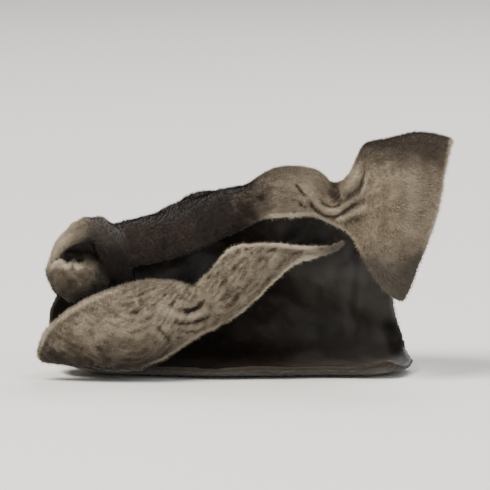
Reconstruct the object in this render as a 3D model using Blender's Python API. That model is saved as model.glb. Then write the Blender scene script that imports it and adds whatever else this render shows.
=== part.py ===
"""A dried wood ear mushroom: one thin, curled fruit body, modelled in metres with +Z up.

The fruit body is one leathery sheet. Its outer side is pale and felted, and its inner side is
dark and smooth. In drying the sheet has rolled up into an ear that lies on its belly with the
mouth to the front, which is -Y:

- the wall starts at the lower lip, runs back as the belly, rises at the rear, comes forward over
  the top and folds down at the front as a flap with a free edge;
- a tongue crosses the mouth from lower left to upper right: a fat pod, a pinched neck, a strip;
- a small curl hooks over at the left end of the flap and ends in a rolled bud;
- a short stub at the rear ends in the flat cut where it was taken off its log.

Every length below is in millimetres, and every height is measured from the resting surface.
"""

import math

import bmesh
import bpy
import numpy as np

MM = 0.001
NODE = "wood_ear"
RIM_ROUND = 0.45  # how far the rounded rim stands past a sheet's own edge, in sheet thicknesses

# ---- the wall: one row for each place along its length ----
# x: place along the ear, left to right
# lip_y, lip_z: the lower lip's free edge
# low_z: the belly's height over the resting surface
# back_y, back_z: how far back the rear wall stands, and its height
# top_z: the height of the fold along the top
# flap_y: the front of the flap that hangs from that fold
# edge_z: the height of the flap's free edge
WALL_THICK = 1.0
MARGIN_THICK = 0.65
WALL_STATIONS = (
    # x,    lip_y, lip_z, low_z, back_y, back_z, top_z, flap_y, edge_z
    (-15.8, 5.6, 2.0, 1.7, 8.4, 6.6, 6.8, 6.0, 5.6),  # left end, behind the pod's tip
    (-13.6, 5.0, 1.4, 0.8, 11.0, 8.4, 8.5, 5.8, 6.2),
    (-11.0, 4.8, 1.1, 0.2, 13.2, 9.9, 10.1, 5.4, 7.2),  # behind the curl
    (-8.0, 4.5, 0.8, 0.0, 14.8, 10.9, 11.3, 4.8, 8.5),
    (-4.0, 3.6, 0.7, 0.0, 15.8, 12.2, 12.7, 4.3, 9.4),
    (0.0, 3.2, 0.7, 0.0, 16.0, 13.6, 14.3, 4.0, 11.3),
    (3.2, 3.5, 0.7, 0.0, 15.6, 14.6, 15.6, 3.8, 12.5),  # hump of the band
    (5.6, 4.0, 0.7, 0.0, 15.1, 14.3, 15.2, 3.9, 12.5),
    (7.2, 4.1, 0.7, 0.0, 14.8, 13.7, 13.8, 4.1, 11.8),
    (8.1, 4.1, 0.7, 0.0, 14.7, 13.9, 13.6, 4.0, 11.3),  # the pinch between band and flare
    (8.6, 4.1, 0.7, 0.0, 14.6, 14.1, 14.7, 3.6, 11.0),
    (9.1, 4.0, 0.8, 0.0, 14.6, 14.6, 16.4, 3.1, 10.6),
    (9.6, 3.9, 0.8, 0.0, 14.5, 15.1, 17.8, 2.6, 10.1),
    (10.2, 3.8, 0.9, 0.0, 14.4, 15.7, 18.5, 2.1, 9.4),
    (11.0, 3.8, 1.0, 0.1, 14.2, 16.4, 18.7, 1.6, 7.9),
    (12.3, 4.0, 1.2, 0.2, 13.8, 16.9, 18.8, 1.2, 6.4),
    (13.4, 4.3, 1.4, 0.4, 13.3, 17.0, 18.8, 1.2, 6.1),  # lowest corner of the flare
    (15.0, 5.2, 2.1, 1.2, 12.3, 16.8, 18.5, 1.5, 7.2),
    (16.6, 6.4, 3.4, 2.4, 11.0, 16.2, 17.9, 2.4, 9.4),  # right end
)
# where the wall's two side margins run, by the share of the way from the lip to the flap's edge
WALL_SIDES = (
    # share, left x, right x
    (0.00, -12.6, 12.0),
    (0.06, -13.6, 13.1),
    (0.18, -14.2, 13.8),
    (0.34, -14.5, 12.8),
    (0.44, -14.4, 12.4),  # the low notch that lets the floor show behind the flare
    (0.56, -14.1, 14.0),
    (0.68, -13.2, 15.8),
    (0.78, -11.4, 16.5),
    (0.88, -9.8, 16.4),
    (0.94, -9.1, 15.8),
    (0.97, -8.9, 15.0),
    (1.00, -8.7, 13.0),
)
WALL_ALONG = 44
WALL_AROUND = 32

# ---- the tongue: one row for each place along it, left to right ----
# top_x, top_z, low_x, low_z: its upper and lower outline, as the front shows them
# crest_y: how far forward its middle stands
# camber: how far its section bends back, in degrees, 180 for a half round
TONGUE_THICK = 0.9
TONGUE_STATIONS = (
    # top_x, top_z, low_x, low_z, crest_y, camber
    (-15.5, 1.9, -15.4, 1.4, 3.6, 60.0),  # pointed left tip of the pod
    (-14.4, 3.4, -14.1, 1.3, 2.5, 140.0),
    (-12.7, 4.9, -12.3, 1.2, 1.6, 185.0),
    (-10.6, 6.0, -10.1, 0.9, 1.0, 200.0),  # widest part of the pod
    (-8.6, 6.7, -7.9, 0.8, 0.8, 205.0),
    (-6.5, 7.2, -6.1, 1.6, 0.9, 205.0),
    (-4.7, 7.1, -4.2, 3.0, 1.3, 205.0),
    (-3.2, 6.8, -2.3, 4.0, 2.0, 200.0),  # the pinched neck
    (-2.0, 7.8, -0.9, 4.6, 1.8, 160.0),
    (-0.8, 9.4, 0.4, 5.4, 1.3, 125.0),  # shoulder of the strip
    (0.6, 10.3, 1.7, 6.6, 1.1, 105.0),
    (2.7, 10.4, 3.2, 8.1, 1.3, 90.0),
    (4.6, 10.3, 4.8, 9.2, 1.7, 70.0),
    (6.5, 10.2, 6.5, 9.7, 2.3, 60.0),
    (8.6, 10.4, 8.6, 10.0, 3.1, 40.0),  # its free tip
)
TONGUE_ALONG = 34
TONGUE_ACROSS = 12

# ---- the curl: a hook that leaves the flap's left end and comes down again to the left ----
# radial, deep: half its thickness in the hook's own plane and along Y
CURL_STATIONS = (
    # x,    y,   z,   radial, deep
    (-8.6, 8.0, 6.3, 0.60, 0.9),  # root, behind the pod
    (-9.1, 6.8, 7.7, 1.10, 1.6),
    (-9.4, 5.8, 9.2, 1.30, 1.9),  # against the flap's left margin
    (-10.0, 5.2, 10.5, 1.20, 2.0),
    (-11.3, 4.9, 11.2, 0.95, 2.0),  # top of the hook
    (-12.8, 4.6, 10.8, 0.62, 1.8),
    (-13.9, 4.4, 9.7, 0.42, 1.6),
    (-14.2, 4.4, 8.3, 0.38, 1.4),  # down into the bud
    (-13.6, 4.6, 7.1, 0.38, 1.2),
)
CURL_SIDES = 12
CURL_ALONG = 22
BUD_CENTRE = (-12.4, 5.0, 7.8)
BUD_HALF = (2.30, 2.20, 2.00)
BUD_DENT_CENTRE = (-12.2, 4.2, 9.9)
BUD_DENT_HALF = (1.40, 1.40, 0.60)

# ---- the stub at the rear, where the fruit body grew on wood ----
STUB_CENTRE = (-1.0, 7.0)  # x and z of its axis, which runs along +Y
STUB_ROOT_Y = 17.25
STUB_CUT_Y = 18.3
STUB_ROOT_RADIUS = 1.9
STUB_CUT_RADIUS = 1.45
STUB_OVAL = 0.12
STUB_SIDES = 14
STUB_DRAW = 1.1  # how far the sheet is drawn out round the stub
STUB_SPREAD = 3.6  # and how wide

# ---- ripples of the dried sheet ----
RUFFLE_HEIGHT = 0.30  # at the free margins
RUFFLE_LENGTH = 5.8
MARGIN_REACH = 4.0  # how far the ruffles and the thinner margin run in
WALL_LONG = 31.0  # the wall's size from side to side
WALL_ROUND = 44.0  # and from the lip round to the flap's edge
SWELL_HEIGHT = 0.50  # over the whole wall
FOLD_HEIGHT = 0.50  # folds that spread from the stub
FOLD_COUNT = 5
FOLD_REACH = 7.0

# ---- the bed that pressed the belly flat where the ear rests, as seen from above ----
REST_CUT = 0.22  # how deep it presses into the belly's underside
REST_CORNERS = (
    (-8.4, 7.6),
    (-6.4, 6.4),
    (6.8, 6.4),
    (8.8, 7.6),
    (8.8, 10.8),
    (6.8, 12.1),
    (-6.4, 12.6),
    (-8.4, 11.2),
)
REST_SPREAD = 3.0  # the bed's sides run this many times as far out
REST_RISE = 0.6  # and rise this much on the way
REST_DEPTH = 10.0

OUTSIDE_COLOUR = (0.223, 0.184, 0.133)  # pale grey tan of the felted side, linear


def smooth_table(rows, at):
    """Every column of a table of stations, read at the places `at` by a smooth curve."""
    rows = np.array(rows, float)
    x, values = rows[:, 0], rows[:, 1:]
    step = np.diff(x)[:, None]
    slope = np.diff(values, axis=0) / step
    tangent = np.zeros_like(values)
    tangent[0], tangent[-1] = slope[0], slope[-1]
    same_way = slope[:-1] * slope[1:] > 0
    mean = 2 * slope[:-1] * slope[1:] / np.where(same_way, slope[:-1] + slope[1:], 1)
    tangent[1:-1] = np.where(same_way, mean, 0.0)
    at = np.clip(at, x[0], x[-1])
    i = np.clip(np.searchsorted(x, at) - 1, 0, len(x) - 2)
    t = ((at - x[i]) / (x[i + 1] - x[i]))[:, None]
    h = step[i]
    return (
        values[i] * (1 + 2 * t) * (1 - t) ** 2
        + tangent[i] * h * t * (1 - t) ** 2
        + values[i + 1] * t**2 * (3 - 2 * t)
        + tangent[i + 1] * h * t**2 * (t - 1)
    )


def path_table(rows, count):
    """Stations of a path in space, read at evenly spaced places along its length."""
    rows = np.array(rows, float)
    chords = np.linalg.norm(np.diff(rows[:, :3], axis=0), axis=1)
    length = np.concatenate([[0.0], np.cumsum(chords)])
    return smooth_table(np.column_stack([length, rows]), np.linspace(0, length[-1], count))


def spline_weights(count, at):
    """The share of each control point of a clamped cubic B-spline, at each place from 0 to 1."""
    degree = 3
    inner = np.linspace(0, 1, count - degree + 1)
    knots = np.concatenate([np.zeros(degree), inner, np.ones(degree)])
    at = np.clip(at, 0, 1 - 1e-9)[:, None]
    basis = ((at >= knots[:-1]) & (at < knots[1:])).astype(float)
    for d in range(1, degree + 1):
        n = len(knots) - d - 1
        left = knots[d : d + n] - knots[:n]
        right = knots[d + 1 : d + 1 + n] - knots[1 : n + 1]
        rising = np.where(left > 0, (at - knots[:n]) / np.where(left > 0, left, 1), 0)
        falling = np.where(right > 0, (knots[d + 1 : d + 1 + n] - at) / np.where(right > 0, right, 1), 0)
        basis = rising * basis[:, :n] + falling * basis[:, 1 : n + 1]
    return basis


def wall_section(lip_y, lip_z, low_z, back_y, back_z, top_z, flap_y, edge_z):
    """The control points (y, z) of the wall's section, from the lower lip to the flap's edge."""
    middle = (lip_y + back_y) / 2
    return np.array(
        (
            (lip_y, lip_z),
            (lip_y + 0.9, low_z),
            (middle, low_z),
            (back_y, low_z),
            (back_y + 0.6, low_z + 0.45 * back_z),
            (back_y - 0.5, 0.96 * back_z),
            (middle - 0.5, 0.4 * back_z + 0.6 * top_z),
            (flap_y + 1.0, top_z),
            (flap_y, top_z - 0.35 * (top_z - edge_z)),
            (flap_y + 0.2, edge_z),
        )
    )


def even_shares(count):
    """Shares of the spline that stand evenly spaced round the wall's middle section."""
    dense = np.linspace(0, 1, 400)
    section = spline_weights(10, dense) @ wall_section(*smooth_table(WALL_STATIONS, np.zeros(1))[0])
    length = np.concatenate([[0.0], np.cumsum(np.linalg.norm(np.diff(section, axis=0), axis=1))])
    return np.interp(np.linspace(0, length[-1], count), length, dense)


def wall_grid(along, around):
    """The middle of the wall as a grid of points, from left to right and from lip to flap."""
    shares = even_shares(around)
    left, right = smooth_table(WALL_SIDES, shares).T
    weights = spline_weights(10, shares)
    grid = np.zeros((along, around, 3))
    far_left, far_right = left.min(), right.max()
    for i, u in enumerate(np.linspace(0, 1, along)):
        x = far_left + (far_right - far_left) * u
        x = x + (left - far_left) * (1 - u) ** 3 + (right - far_right) * u**3
        control = wall_section(*smooth_table(WALL_STATIONS, x).T)
        grid[i, :, 0] = x
        grid[i, :, 1:] = np.einsum("jc,caj->ja", weights, control)
    return grid


def tongue_sheet(along, across):
    """The tongue's middle, an arc across it at every step, and its thickness there."""
    share = np.linspace(0, 1, len(TONGUE_STATIONS))
    rows = smooth_table(np.column_stack([share, TONGUE_STATIONS]), np.linspace(0, 1, along))
    top_x, top_z, low_x, low_z, crest_y, camber = rows.T
    half = np.hypot(top_x - low_x, top_z - low_z) / 2
    bend = np.radians(camber)
    radius = half / np.sin(np.minimum(bend / 2, math.pi / 2))
    crest = np.column_stack([(top_x + low_x) / 2, crest_y, (top_z + low_z) / 2])
    wide = np.column_stack([top_x - low_x, 0 * half, top_z - low_z]) / (2 * half[:, None])
    angle = np.linspace(-0.5, 0.5, across)[None, :] * bend[:, None]
    grid = crest[:, None] + (radius[:, None] * np.sin(angle))[..., None] * wide[:, None]
    grid[..., 1] += radius[:, None] * (1 - np.cos(angle))
    thick = np.minimum(TONGUE_THICK, 1.1 * half)
    return grid, np.repeat(thick[:, None], across, axis=1)


def grid_normals(grid):
    """The unit normal at every point of a grid; on the wall it points into the hollow."""
    normal = np.cross(np.gradient(grid, axis=0), np.gradient(grid, axis=1))
    return normal / np.maximum(np.linalg.norm(normal, axis=2, keepdims=True), 1e-9)


def near_margins(rows, columns):
    """How near each point of the wall's grid is to its side margins, and to its lip or flap."""
    u = np.linspace(0, 1, rows)[:, None]
    v = np.linspace(0, 1, columns)[None, :]
    beside = np.exp(-np.minimum(u, 1 - u) * WALL_LONG / MARGIN_REACH)
    above = np.exp(-np.minimum(v, 1 - v) * WALL_ROUND / MARGIN_REACH)
    return np.broadcast_arrays(beside, above)


def ripple(grid):
    """The wall with its ruffled margins, its slow swells and the folds round the stub."""
    beside, above = near_margins(*grid.shape[:2])
    x, y, z = np.moveaxis(grid, 2, 0)
    wave_x = np.sin(2 * math.pi * x / RUFFLE_LENGTH)
    wave_z = np.sin(2 * math.pi * (z + 0.6 * y) / RUFFLE_LENGTH)
    ruffle = above * (1 - beside) * wave_x + beside * (1 - above) * wave_z
    swell = np.sin(0.52 * x + 0.31 * z) * np.sin(0.45 * z + 0.38 * y + 0.7)
    off_floor = np.clip(z / 3.0, 0, 1)
    from_stub = np.hypot(x - STUB_CENTRE[0], z - STUB_CENTRE[1])
    turn = np.arctan2(z - STUB_CENTRE[1], x - STUB_CENTRE[0])
    behind = np.clip((y - 10.0) / 4.0, 0, 1)
    ring = from_stub / FOLD_REACH * np.exp(1 - from_stub / FOLD_REACH)
    clear = np.clip((from_stub - STUB_ROOT_RADIUS) / STUB_ROOT_RADIUS, 0, 1)
    fold = behind * clear * ring * np.cos(FOLD_COUNT * turn)
    drawn = behind * np.exp(-((from_stub / STUB_SPREAD) ** 2))
    inward = RUFFLE_HEIGHT * ruffle + SWELL_HEIGHT * swell + FOLD_HEIGHT * fold
    inward = off_floor * inward - STUB_DRAW * drawn
    return grid + grid_normals(grid) * inward[..., None]


def wall_sheet(along, around):
    """The wall's middle as a grid of points, and its thickness, which falls off at the margins."""
    beside, above = near_margins(along, around)
    thick = WALL_THICK - (WALL_THICK - MARGIN_THICK) * np.maximum(beside, above)
    return ripple(wall_grid(along, around)), thick


def border(rows, columns):
    """The places of a grid's border points, once round."""
    first = [(0, j) for j in range(columns)]
    right = [(i, columns - 1) for i in range(1, rows)]
    last = [(rows - 1, j) for j in range(columns - 2, -1, -1)]
    left = [(i, 0) for i in range(rows - 2, 0, -1)]
    return first + right + last + left


def sheet(grid, thick):
    """Points and faces of a closed sheet of the given thickness round a grid, with a rounded rim."""
    rows, columns = grid.shape[:2]
    half = grid_normals(grid) * thick[..., None] / 2
    out = np.zeros_like(grid)
    out[0] += grid[0] - grid[1]
    out[-1] += grid[-1] - grid[-2]
    out[:, 0] += grid[:, 0] - grid[:, 1]
    out[:, -1] += grid[:, -1] - grid[:, -2]
    out /= np.maximum(np.linalg.norm(out, axis=2, keepdims=True), 1e-9)
    around = border(rows, columns)
    rim = np.array([grid[i, j] + out[i, j] * RIM_ROUND * thick[i, j] for i, j in around])
    points = np.concatenate([(grid + half).reshape(-1, 3), (grid - half).reshape(-1, 3), rim])
    size = rows * columns
    faces = []
    for i in range(rows - 1):
        for j in range(columns - 1):
            a = i * columns + j
            b, c, d = a + columns, a + columns + 1, a + 1
            faces.append((a, b, c, d))
            faces.append((d + size, c + size, b + size, a + size))
    numbers = [i * columns + j for i, j in around]
    for k, a in enumerate(numbers):
        n = (k + 1) % len(numbers)
        b = numbers[n]
        faces.append((a, b, 2 * size + n, 2 * size + k))
        faces.append((2 * size + k, 2 * size + n, b + size, a + size))
    return points, faces


def tube(stations, along, sides):
    """Points and faces of a closed tube with oval sections, in a path that lies near XZ."""
    rows = path_table(stations, along)
    centre, radial, deep = rows[:, :3], rows[:, 3], rows[:, 4]
    ahead = np.gradient(centre, axis=0)
    ahead /= np.linalg.norm(ahead, axis=1, keepdims=True)
    outward = np.cross(ahead, (0.0, 1.0, 0.0))
    outward /= np.linalg.norm(outward, axis=1, keepdims=True)
    back = np.cross(outward, ahead)
    turn = np.linspace(0, 2 * math.pi, sides, endpoint=False)
    ring = (
        centre[:, None]
        + (radial[:, None] * np.cos(turn))[..., None] * outward[:, None]
        + (deep[:, None] * np.sin(turn))[..., None] * back[:, None]
    )
    ends = np.array([centre[0] - ahead[0] * radial[0] * 0.6, centre[-1] + ahead[-1] * radial[-1] * 0.6])
    points = np.concatenate([ring.reshape(-1, 3), ends])
    faces = []
    for k in range(sides):
        n = (k + 1) % sides
        for i in range(along - 1):
            a, b = i * sides + k, i * sides + n
            faces.append((a, b, b + sides, a + sides))
        faces.append((along * sides, n, k))
        last = (along - 1) * sides
        faces.append((along * sides + 1, last + k, last + n))
    return points, faces


def add_object(name, points, faces):
    """A mesh object made of millimetre points, with its faces pointing out."""
    mesh = bpy.data.meshes.new(name)
    mesh.from_pydata([tuple(point * MM) for point in points], [], faces)
    work = bmesh.new()
    work.from_mesh(mesh)
    bmesh.ops.recalc_face_normals(work, faces=work.faces)
    work.to_mesh(mesh)
    work.free()
    made = bpy.data.objects.new(name, mesh)
    bpy.context.scene.collection.objects.link(made)
    return made


def add_ball(name, centre, half):
    """An egg-shaped solid of the bud or of its dent."""
    work = bmesh.new()
    bmesh.ops.create_icosphere(work, subdivisions=3, radius=1.0)
    for vert in work.verts:
        vert.co = [(c + h * p) * MM for c, h, p in zip(centre, half, vert.co)]
    mesh = bpy.data.meshes.new(name)
    work.to_mesh(mesh)
    work.free()
    made = bpy.data.objects.new(name, mesh)
    bpy.context.scene.collection.objects.link(made)
    return made


def add_stub():
    """The short stalk at the rear, with its flat cut."""
    flare = STUB_ROOT_Y + 0.45 * (STUB_CUT_Y - STUB_ROOT_Y)
    waist = 0.35 * STUB_ROOT_RADIUS + 0.65 * STUB_CUT_RADIUS
    rings = ((STUB_ROOT_Y, STUB_ROOT_RADIUS), (flare, waist), (STUB_CUT_Y, STUB_CUT_RADIUS))
    points = []
    for y, radius in rings:
        for k in range(STUB_SIDES):
            turn = 2 * math.pi * k / STUB_SIDES
            wide = radius * (1 + STUB_OVAL * math.cos(2 * turn + 0.5))
            points.append((STUB_CENTRE[0] + wide * math.cos(turn), y, STUB_CENTRE[1] + wide * math.sin(turn)))
    faces = [tuple(range(STUB_SIDES)), tuple(reversed(range(2 * STUB_SIDES, 3 * STUB_SIDES)))]
    for start in (0, STUB_SIDES):
        for k in range(STUB_SIDES):
            a = start + k
            b = start + (k + 1) % STUB_SIDES
            faces.append((a, a + STUB_SIDES, b + STUB_SIDES, b))
    return add_object("stub", np.array(points), faces)


def add_bed(top):
    """A shallow eight-sided dish, flat in its middle, whose floor stands at the height `top`."""
    corners = np.array(REST_CORNERS)
    wide = corners.mean(axis=0) + REST_SPREAD * (corners - corners.mean(axis=0))
    rings = ((corners, top), (wide, top + REST_RISE), (wide, top - REST_DEPTH))
    points = np.concatenate([np.column_stack([xy, np.full(len(xy), z)]) for xy, z in rings])
    count = len(corners)
    faces = [tuple(range(count)), tuple(reversed(range(2 * count, 3 * count)))]
    for start in (0, count):
        for k in range(count):
            a = start + k
            b = start + (k + 1) % count
            faces.append((a, a + count, b + count, b))
    return add_object("bed", points, faces)


def combine(base, other, operation):
    """Join another closed solid to the base, or cut it out, and remove it."""
    modifier = base.modifiers.new(operation.lower(), "BOOLEAN")
    modifier.operation = operation
    modifier.solver = "EXACT"
    modifier.object = other
    graph = bpy.context.evaluated_depsgraph_get()
    mesh = bpy.data.meshes.new_from_object(base.evaluated_get(graph))
    base.modifiers.clear()
    base.data = mesh
    bpy.data.objects.remove(other)


def finish(body):
    """Put the middle of the resting face's height and the box's middle at the origin, and add the look."""
    mesh = body.data
    points = np.array([vert.co for vert in mesh.vertices])
    low, high = points.min(axis=0), points.max(axis=0)
    origin = np.array(((low[0] + high[0]) / 2, (low[1] + high[1]) / 2, low[2]))
    mesh.vertices.foreach_set("co", (points - origin).ravel())
    mesh.shade_smooth()
    mesh.set_sharp_from_angle(angle=math.radians(50))
    material = bpy.data.materials.new("felted_outside")
    material.use_nodes = True
    shader = material.node_tree.nodes["Principled BSDF"]
    shader.inputs["Base Color"].default_value = (*OUTSIDE_COLOUR, 1.0)
    shader.inputs["Roughness"].default_value = 0.9
    shader.inputs["Metallic"].default_value = 0.0
    mesh.materials.clear()
    mesh.materials.append(material)


def main():
    for old in list(bpy.data.objects):
        bpy.data.objects.remove(old)
    body = add_object(NODE, *sheet(*wall_sheet(WALL_ALONG, WALL_AROUND)))
    curl = add_object("curl", *tube(CURL_STATIONS, CURL_ALONG, CURL_SIDES))
    combine(curl, add_ball("bud", BUD_CENTRE, BUD_HALF), "UNION")
    combine(curl, add_ball("dent", BUD_DENT_CENTRE, BUD_DENT_HALF), "DIFFERENCE")
    combine(body, curl, "UNION")
    combine(body, add_object("tongue", *sheet(*tongue_sheet(TONGUE_ALONG, TONGUE_ACROSS))), "UNION")
    combine(body, add_stub(), "UNION")
    combine(body, add_bed(REST_CUT - WALL_THICK / 2), "DIFFERENCE")
    finish(body)


main()
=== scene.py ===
"""A dried wood ear mushroom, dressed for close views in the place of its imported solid.

The fruit body is one leathery membrane that has rolled up in drying. Its outer side is pale and
felted with short hair, and its inner side is dark and smooth. The shapes are worked out in
millimetres in a maker's frame of their own, as one continuous skin, and move to the row's frame
in metres at the end:

- the wall starts at the lower lip, runs back as the belly, rises at the rear, comes forward over
  the top and folds down at the front as a flap with a free edge;
- the tongue crosses the mouth from lower left to upper right: a pod, a pinched neck and a strip;
- the curl hooks over at the left end of the flap and ends in a rolled bud, with the roll's dark
  inside behind them;
- the stub at the rear ends in the cut where the ear was taken off its log.
"""

import logging
import math
from dataclasses import dataclass
from enum import Enum

import bpy
import numpy as np
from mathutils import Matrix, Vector
from mathutils.kdtree import KDTree


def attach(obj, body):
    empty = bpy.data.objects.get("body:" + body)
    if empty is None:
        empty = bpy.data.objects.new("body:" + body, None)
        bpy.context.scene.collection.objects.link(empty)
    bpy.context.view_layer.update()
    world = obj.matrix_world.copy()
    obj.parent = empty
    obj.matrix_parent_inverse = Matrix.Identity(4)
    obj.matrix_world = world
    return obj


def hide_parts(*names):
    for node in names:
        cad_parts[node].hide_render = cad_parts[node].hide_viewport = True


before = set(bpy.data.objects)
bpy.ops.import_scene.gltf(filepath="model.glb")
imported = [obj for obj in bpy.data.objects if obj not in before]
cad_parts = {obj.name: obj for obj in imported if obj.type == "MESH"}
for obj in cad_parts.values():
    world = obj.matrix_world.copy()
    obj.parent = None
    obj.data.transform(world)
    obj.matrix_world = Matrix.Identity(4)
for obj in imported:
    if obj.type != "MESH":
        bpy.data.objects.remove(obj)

MM = 0.001
NODE = "wood_ear"
SEED = 27
FAR_FROM_EDGE = 3.0  # edge distance, in millimetres, of lobes that have no free edge
FRONT_LIMIT = 0.25  # a side that looks back by less than this still takes the front's creases
FULL_TURN = 2 * math.pi
STRIP_FROM = (-1.6, 0.4)  # x where the tongue's pod ends, and where its strip has begun
STUB_AXIS = (-1.0, 7.0)  # x and z of the stub, which runs along +Y
STUB_RADIUS = 1.9  # at its root
# large odd numbers that scatter the noise's codes
CELL_CODES = np.array((374761393, 668265263, 2147483647))
SEED_CODE, MIXING_CODE = 974634777, 1274126177

Array = np.ndarray
Material = bpy.types.Material
Object = bpy.types.Object
Socket = bpy.types.NodeSocket
Tree = bpy.types.NodeTree

LOG = logging.getLogger("wood_ear")


class Lobe(Enum):
    """The parts of the one membrane."""

    WALL = 0
    TONGUE = 1
    CURL = 2
    BUD = 3
    STUB = 4
    ROLL = 5


class Side(Enum):
    """The two sides of the membrane, as the numbers of their material slots."""

    OUTER = 0
    INNER = 1


# ---------------------------------------------------------------- plain helpers


def linear(code: str) -> tuple[float, float, float, float]:
    """Turn an sRGB hex colour into linear light.

    Args:
        code: Six hex digits after a hash sign.

    Returns:
        Red, green, blue and an alpha of one.
    """
    parts = [int(code[i : i + 2], 16) / 255 for i in (1, 3, 5)]
    light = [c / 12.92 if c <= 0.04045 else ((c + 0.055) / 1.055) ** 2.4 for c in parts]
    return (light[0], light[1], light[2], 1.0)


def add_node(tree: Tree, kind: str, inputs: dict | None = None, **settings) -> bpy.types.Node:
    """Add a node with its settings, and give its inputs values or links.

    Args:
        tree: The node tree.
        kind: The node's type name.
        inputs: For each input's name or number, a value or the output socket that feeds it.
        **settings: Properties of the node itself.

    Returns:
        The new node.
    """
    node = tree.nodes.new(kind)
    for name, value in settings.items():
        setattr(node, name, value)
    for key, value in (inputs or {}).items():
        if isinstance(value, Socket):
            tree.links.new(value, node.inputs[key])
        else:
            node.inputs[key].default_value = value
    return node


def add_object(name: str, data: bpy.types.ID) -> Object:
    """Put a mesh, light or camera into the scene as an object.

    Args:
        name: Its name.
        data: What it shows.

    Returns:
        The object.
    """
    made = bpy.data.objects.new(name, data)
    bpy.context.scene.collection.objects.link(made)
    return made


def smooth_step(low: float, high: float, value: Array) -> Array:
    """Rise smoothly from 0 at `low` to 1 at `high`."""
    t = np.clip((value - low) / (high - low), 0.0, 1.0)
    return t * t * (3 - 2 * t)


def unit(vectors: Array) -> Array:
    """Scale vectors in the last axis to a length of one."""
    return vectors / np.maximum(np.linalg.norm(vectors, axis=-1, keepdims=True), 1e-9)


def gradient_noise(points: Array, seed: int) -> Array:
    """Smooth three-dimensional noise from about -1 to 1, the same on every run.

    Args:
        points: Places, in cells of the noise, one row each.
        seed: Chooses the pattern.

    Returns:
        One number for each place.
    """
    cell = np.floor(points).astype(np.int64)
    local = points - cell
    fade = local**3 * (local * (local * 6 - 15) + 10)
    total = np.zeros(len(points))
    for corner in np.ndindex(2, 2, 2):
        # every corner of the cell has a code, and 20 bits of the code give a direction
        code = (cell + np.array(corner)) @ CELL_CODES + seed * SEED_CODE
        code = (code ^ (code >> 13)) * MIXING_CODE
        code = code ^ (code >> 16)
        turn = (code & 1023) / 1023 * FULL_TURN
        rise = ((code >> 10) & 1023) / 1023 * 2 - 1
        flat = np.sqrt(np.maximum(0, 1 - rise**2))
        offset = local - np.array(corner)
        slope = offset[:, 0] * flat * np.cos(turn) + offset[:, 1] * flat * np.sin(turn) + offset[:, 2] * rise
        share = np.prod(np.where(np.array(corner) == 1, fade, 1 - fade), axis=1)
        total += slope * share
    return total * 1.6  # brings its usual range to about -1 to 1


def ridges(points: Array, seed: int) -> Array:
    """Noise with sharp crests, from about -1 in the hollows to 1 on the crests."""
    return 1 - 2.6 * np.abs(gradient_noise(points, seed))


def smooth_table(rows: Array, at: Array) -> Array:
    """Read every column of a table of stations at given places by a smooth curve.

    Args:
        rows: The stations, with their place in the first column.
        at: The places to read.

    Returns:
        One row of values for each place.
    """
    rows = np.array(rows, float)
    x, values = rows[:, 0], rows[:, 1:]
    step = np.diff(x)[:, None]
    slope = np.diff(values, axis=0) / step
    tangent = np.zeros_like(values)
    tangent[0], tangent[-1] = slope[0], slope[-1]
    same_way = slope[:-1] * slope[1:] > 0
    mean = 2 * slope[:-1] * slope[1:] / np.where(same_way, slope[:-1] + slope[1:], 1)
    tangent[1:-1] = np.where(same_way, mean, 0.0)
    at = np.clip(at, x[0], x[-1])
    i = np.clip(np.searchsorted(x, at) - 1, 0, len(x) - 2)
    t = ((at - x[i]) / (x[i + 1] - x[i]))[:, None]
    h = step[i]
    return (
        values[i] * (1 + 2 * t) * (1 - t) ** 2
        + tangent[i] * h * t * (1 - t) ** 2
        + values[i + 1] * t**2 * (3 - 2 * t)
        + tangent[i + 1] * h * t**2 * (t - 1)
    )


def spline_weights(count: int, at: Array) -> Array:
    """Find the share of each control point of a clamped cubic B-spline.

    Args:
        count: How many control points there are.
        at: Places along the spline, from 0 to 1.

    Returns:
        One row of shares for each place.
    """
    degree = 3
    inner = np.linspace(0, 1, count - degree + 1)
    knots = np.concatenate([np.zeros(degree), inner, np.ones(degree)])
    at = np.clip(at, 0, 1 - 1e-9)[:, None]
    basis = ((at >= knots[:-1]) & (at < knots[1:])).astype(float)
    for d in range(1, degree + 1):
        n = len(knots) - d - 1
        left = knots[d : d + n] - knots[:n]
        right = knots[d + 1 : d + 1 + n] - knots[1 : n + 1]
        rising = np.where(left > 0, (at - knots[:n]) / np.where(left > 0, left, 1), 0)
        falling = np.where(right > 0, (knots[d + 1 : d + 1 + n] - at) / np.where(right > 0, right, 1), 0)
        basis = rising * basis[:, :n] + falling * basis[:, 1 : n + 1]
    return basis


def grid_normals(grid: Array) -> Array:
    """Find the unit normal at every point of a grid of points."""
    return unit(np.cross(np.gradient(grid, axis=0), np.gradient(grid, axis=1)))


def grid_lengths(grid: Array) -> tuple[Array, Array]:
    """Measure how far every point of a grid lies along its rows and across them, in millimetres.

    Args:
        grid: The grid's points.

    Returns:
        Two lengths for each point.
    """
    along = np.zeros(grid.shape[:2])
    along[1:] = np.cumsum(np.linalg.norm(np.diff(grid, axis=0), axis=2), axis=0)
    across = np.zeros(grid.shape[:2])
    across[:, 1:] = np.cumsum(np.linalg.norm(np.diff(grid, axis=1), axis=2), axis=1)
    return along, across


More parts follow.
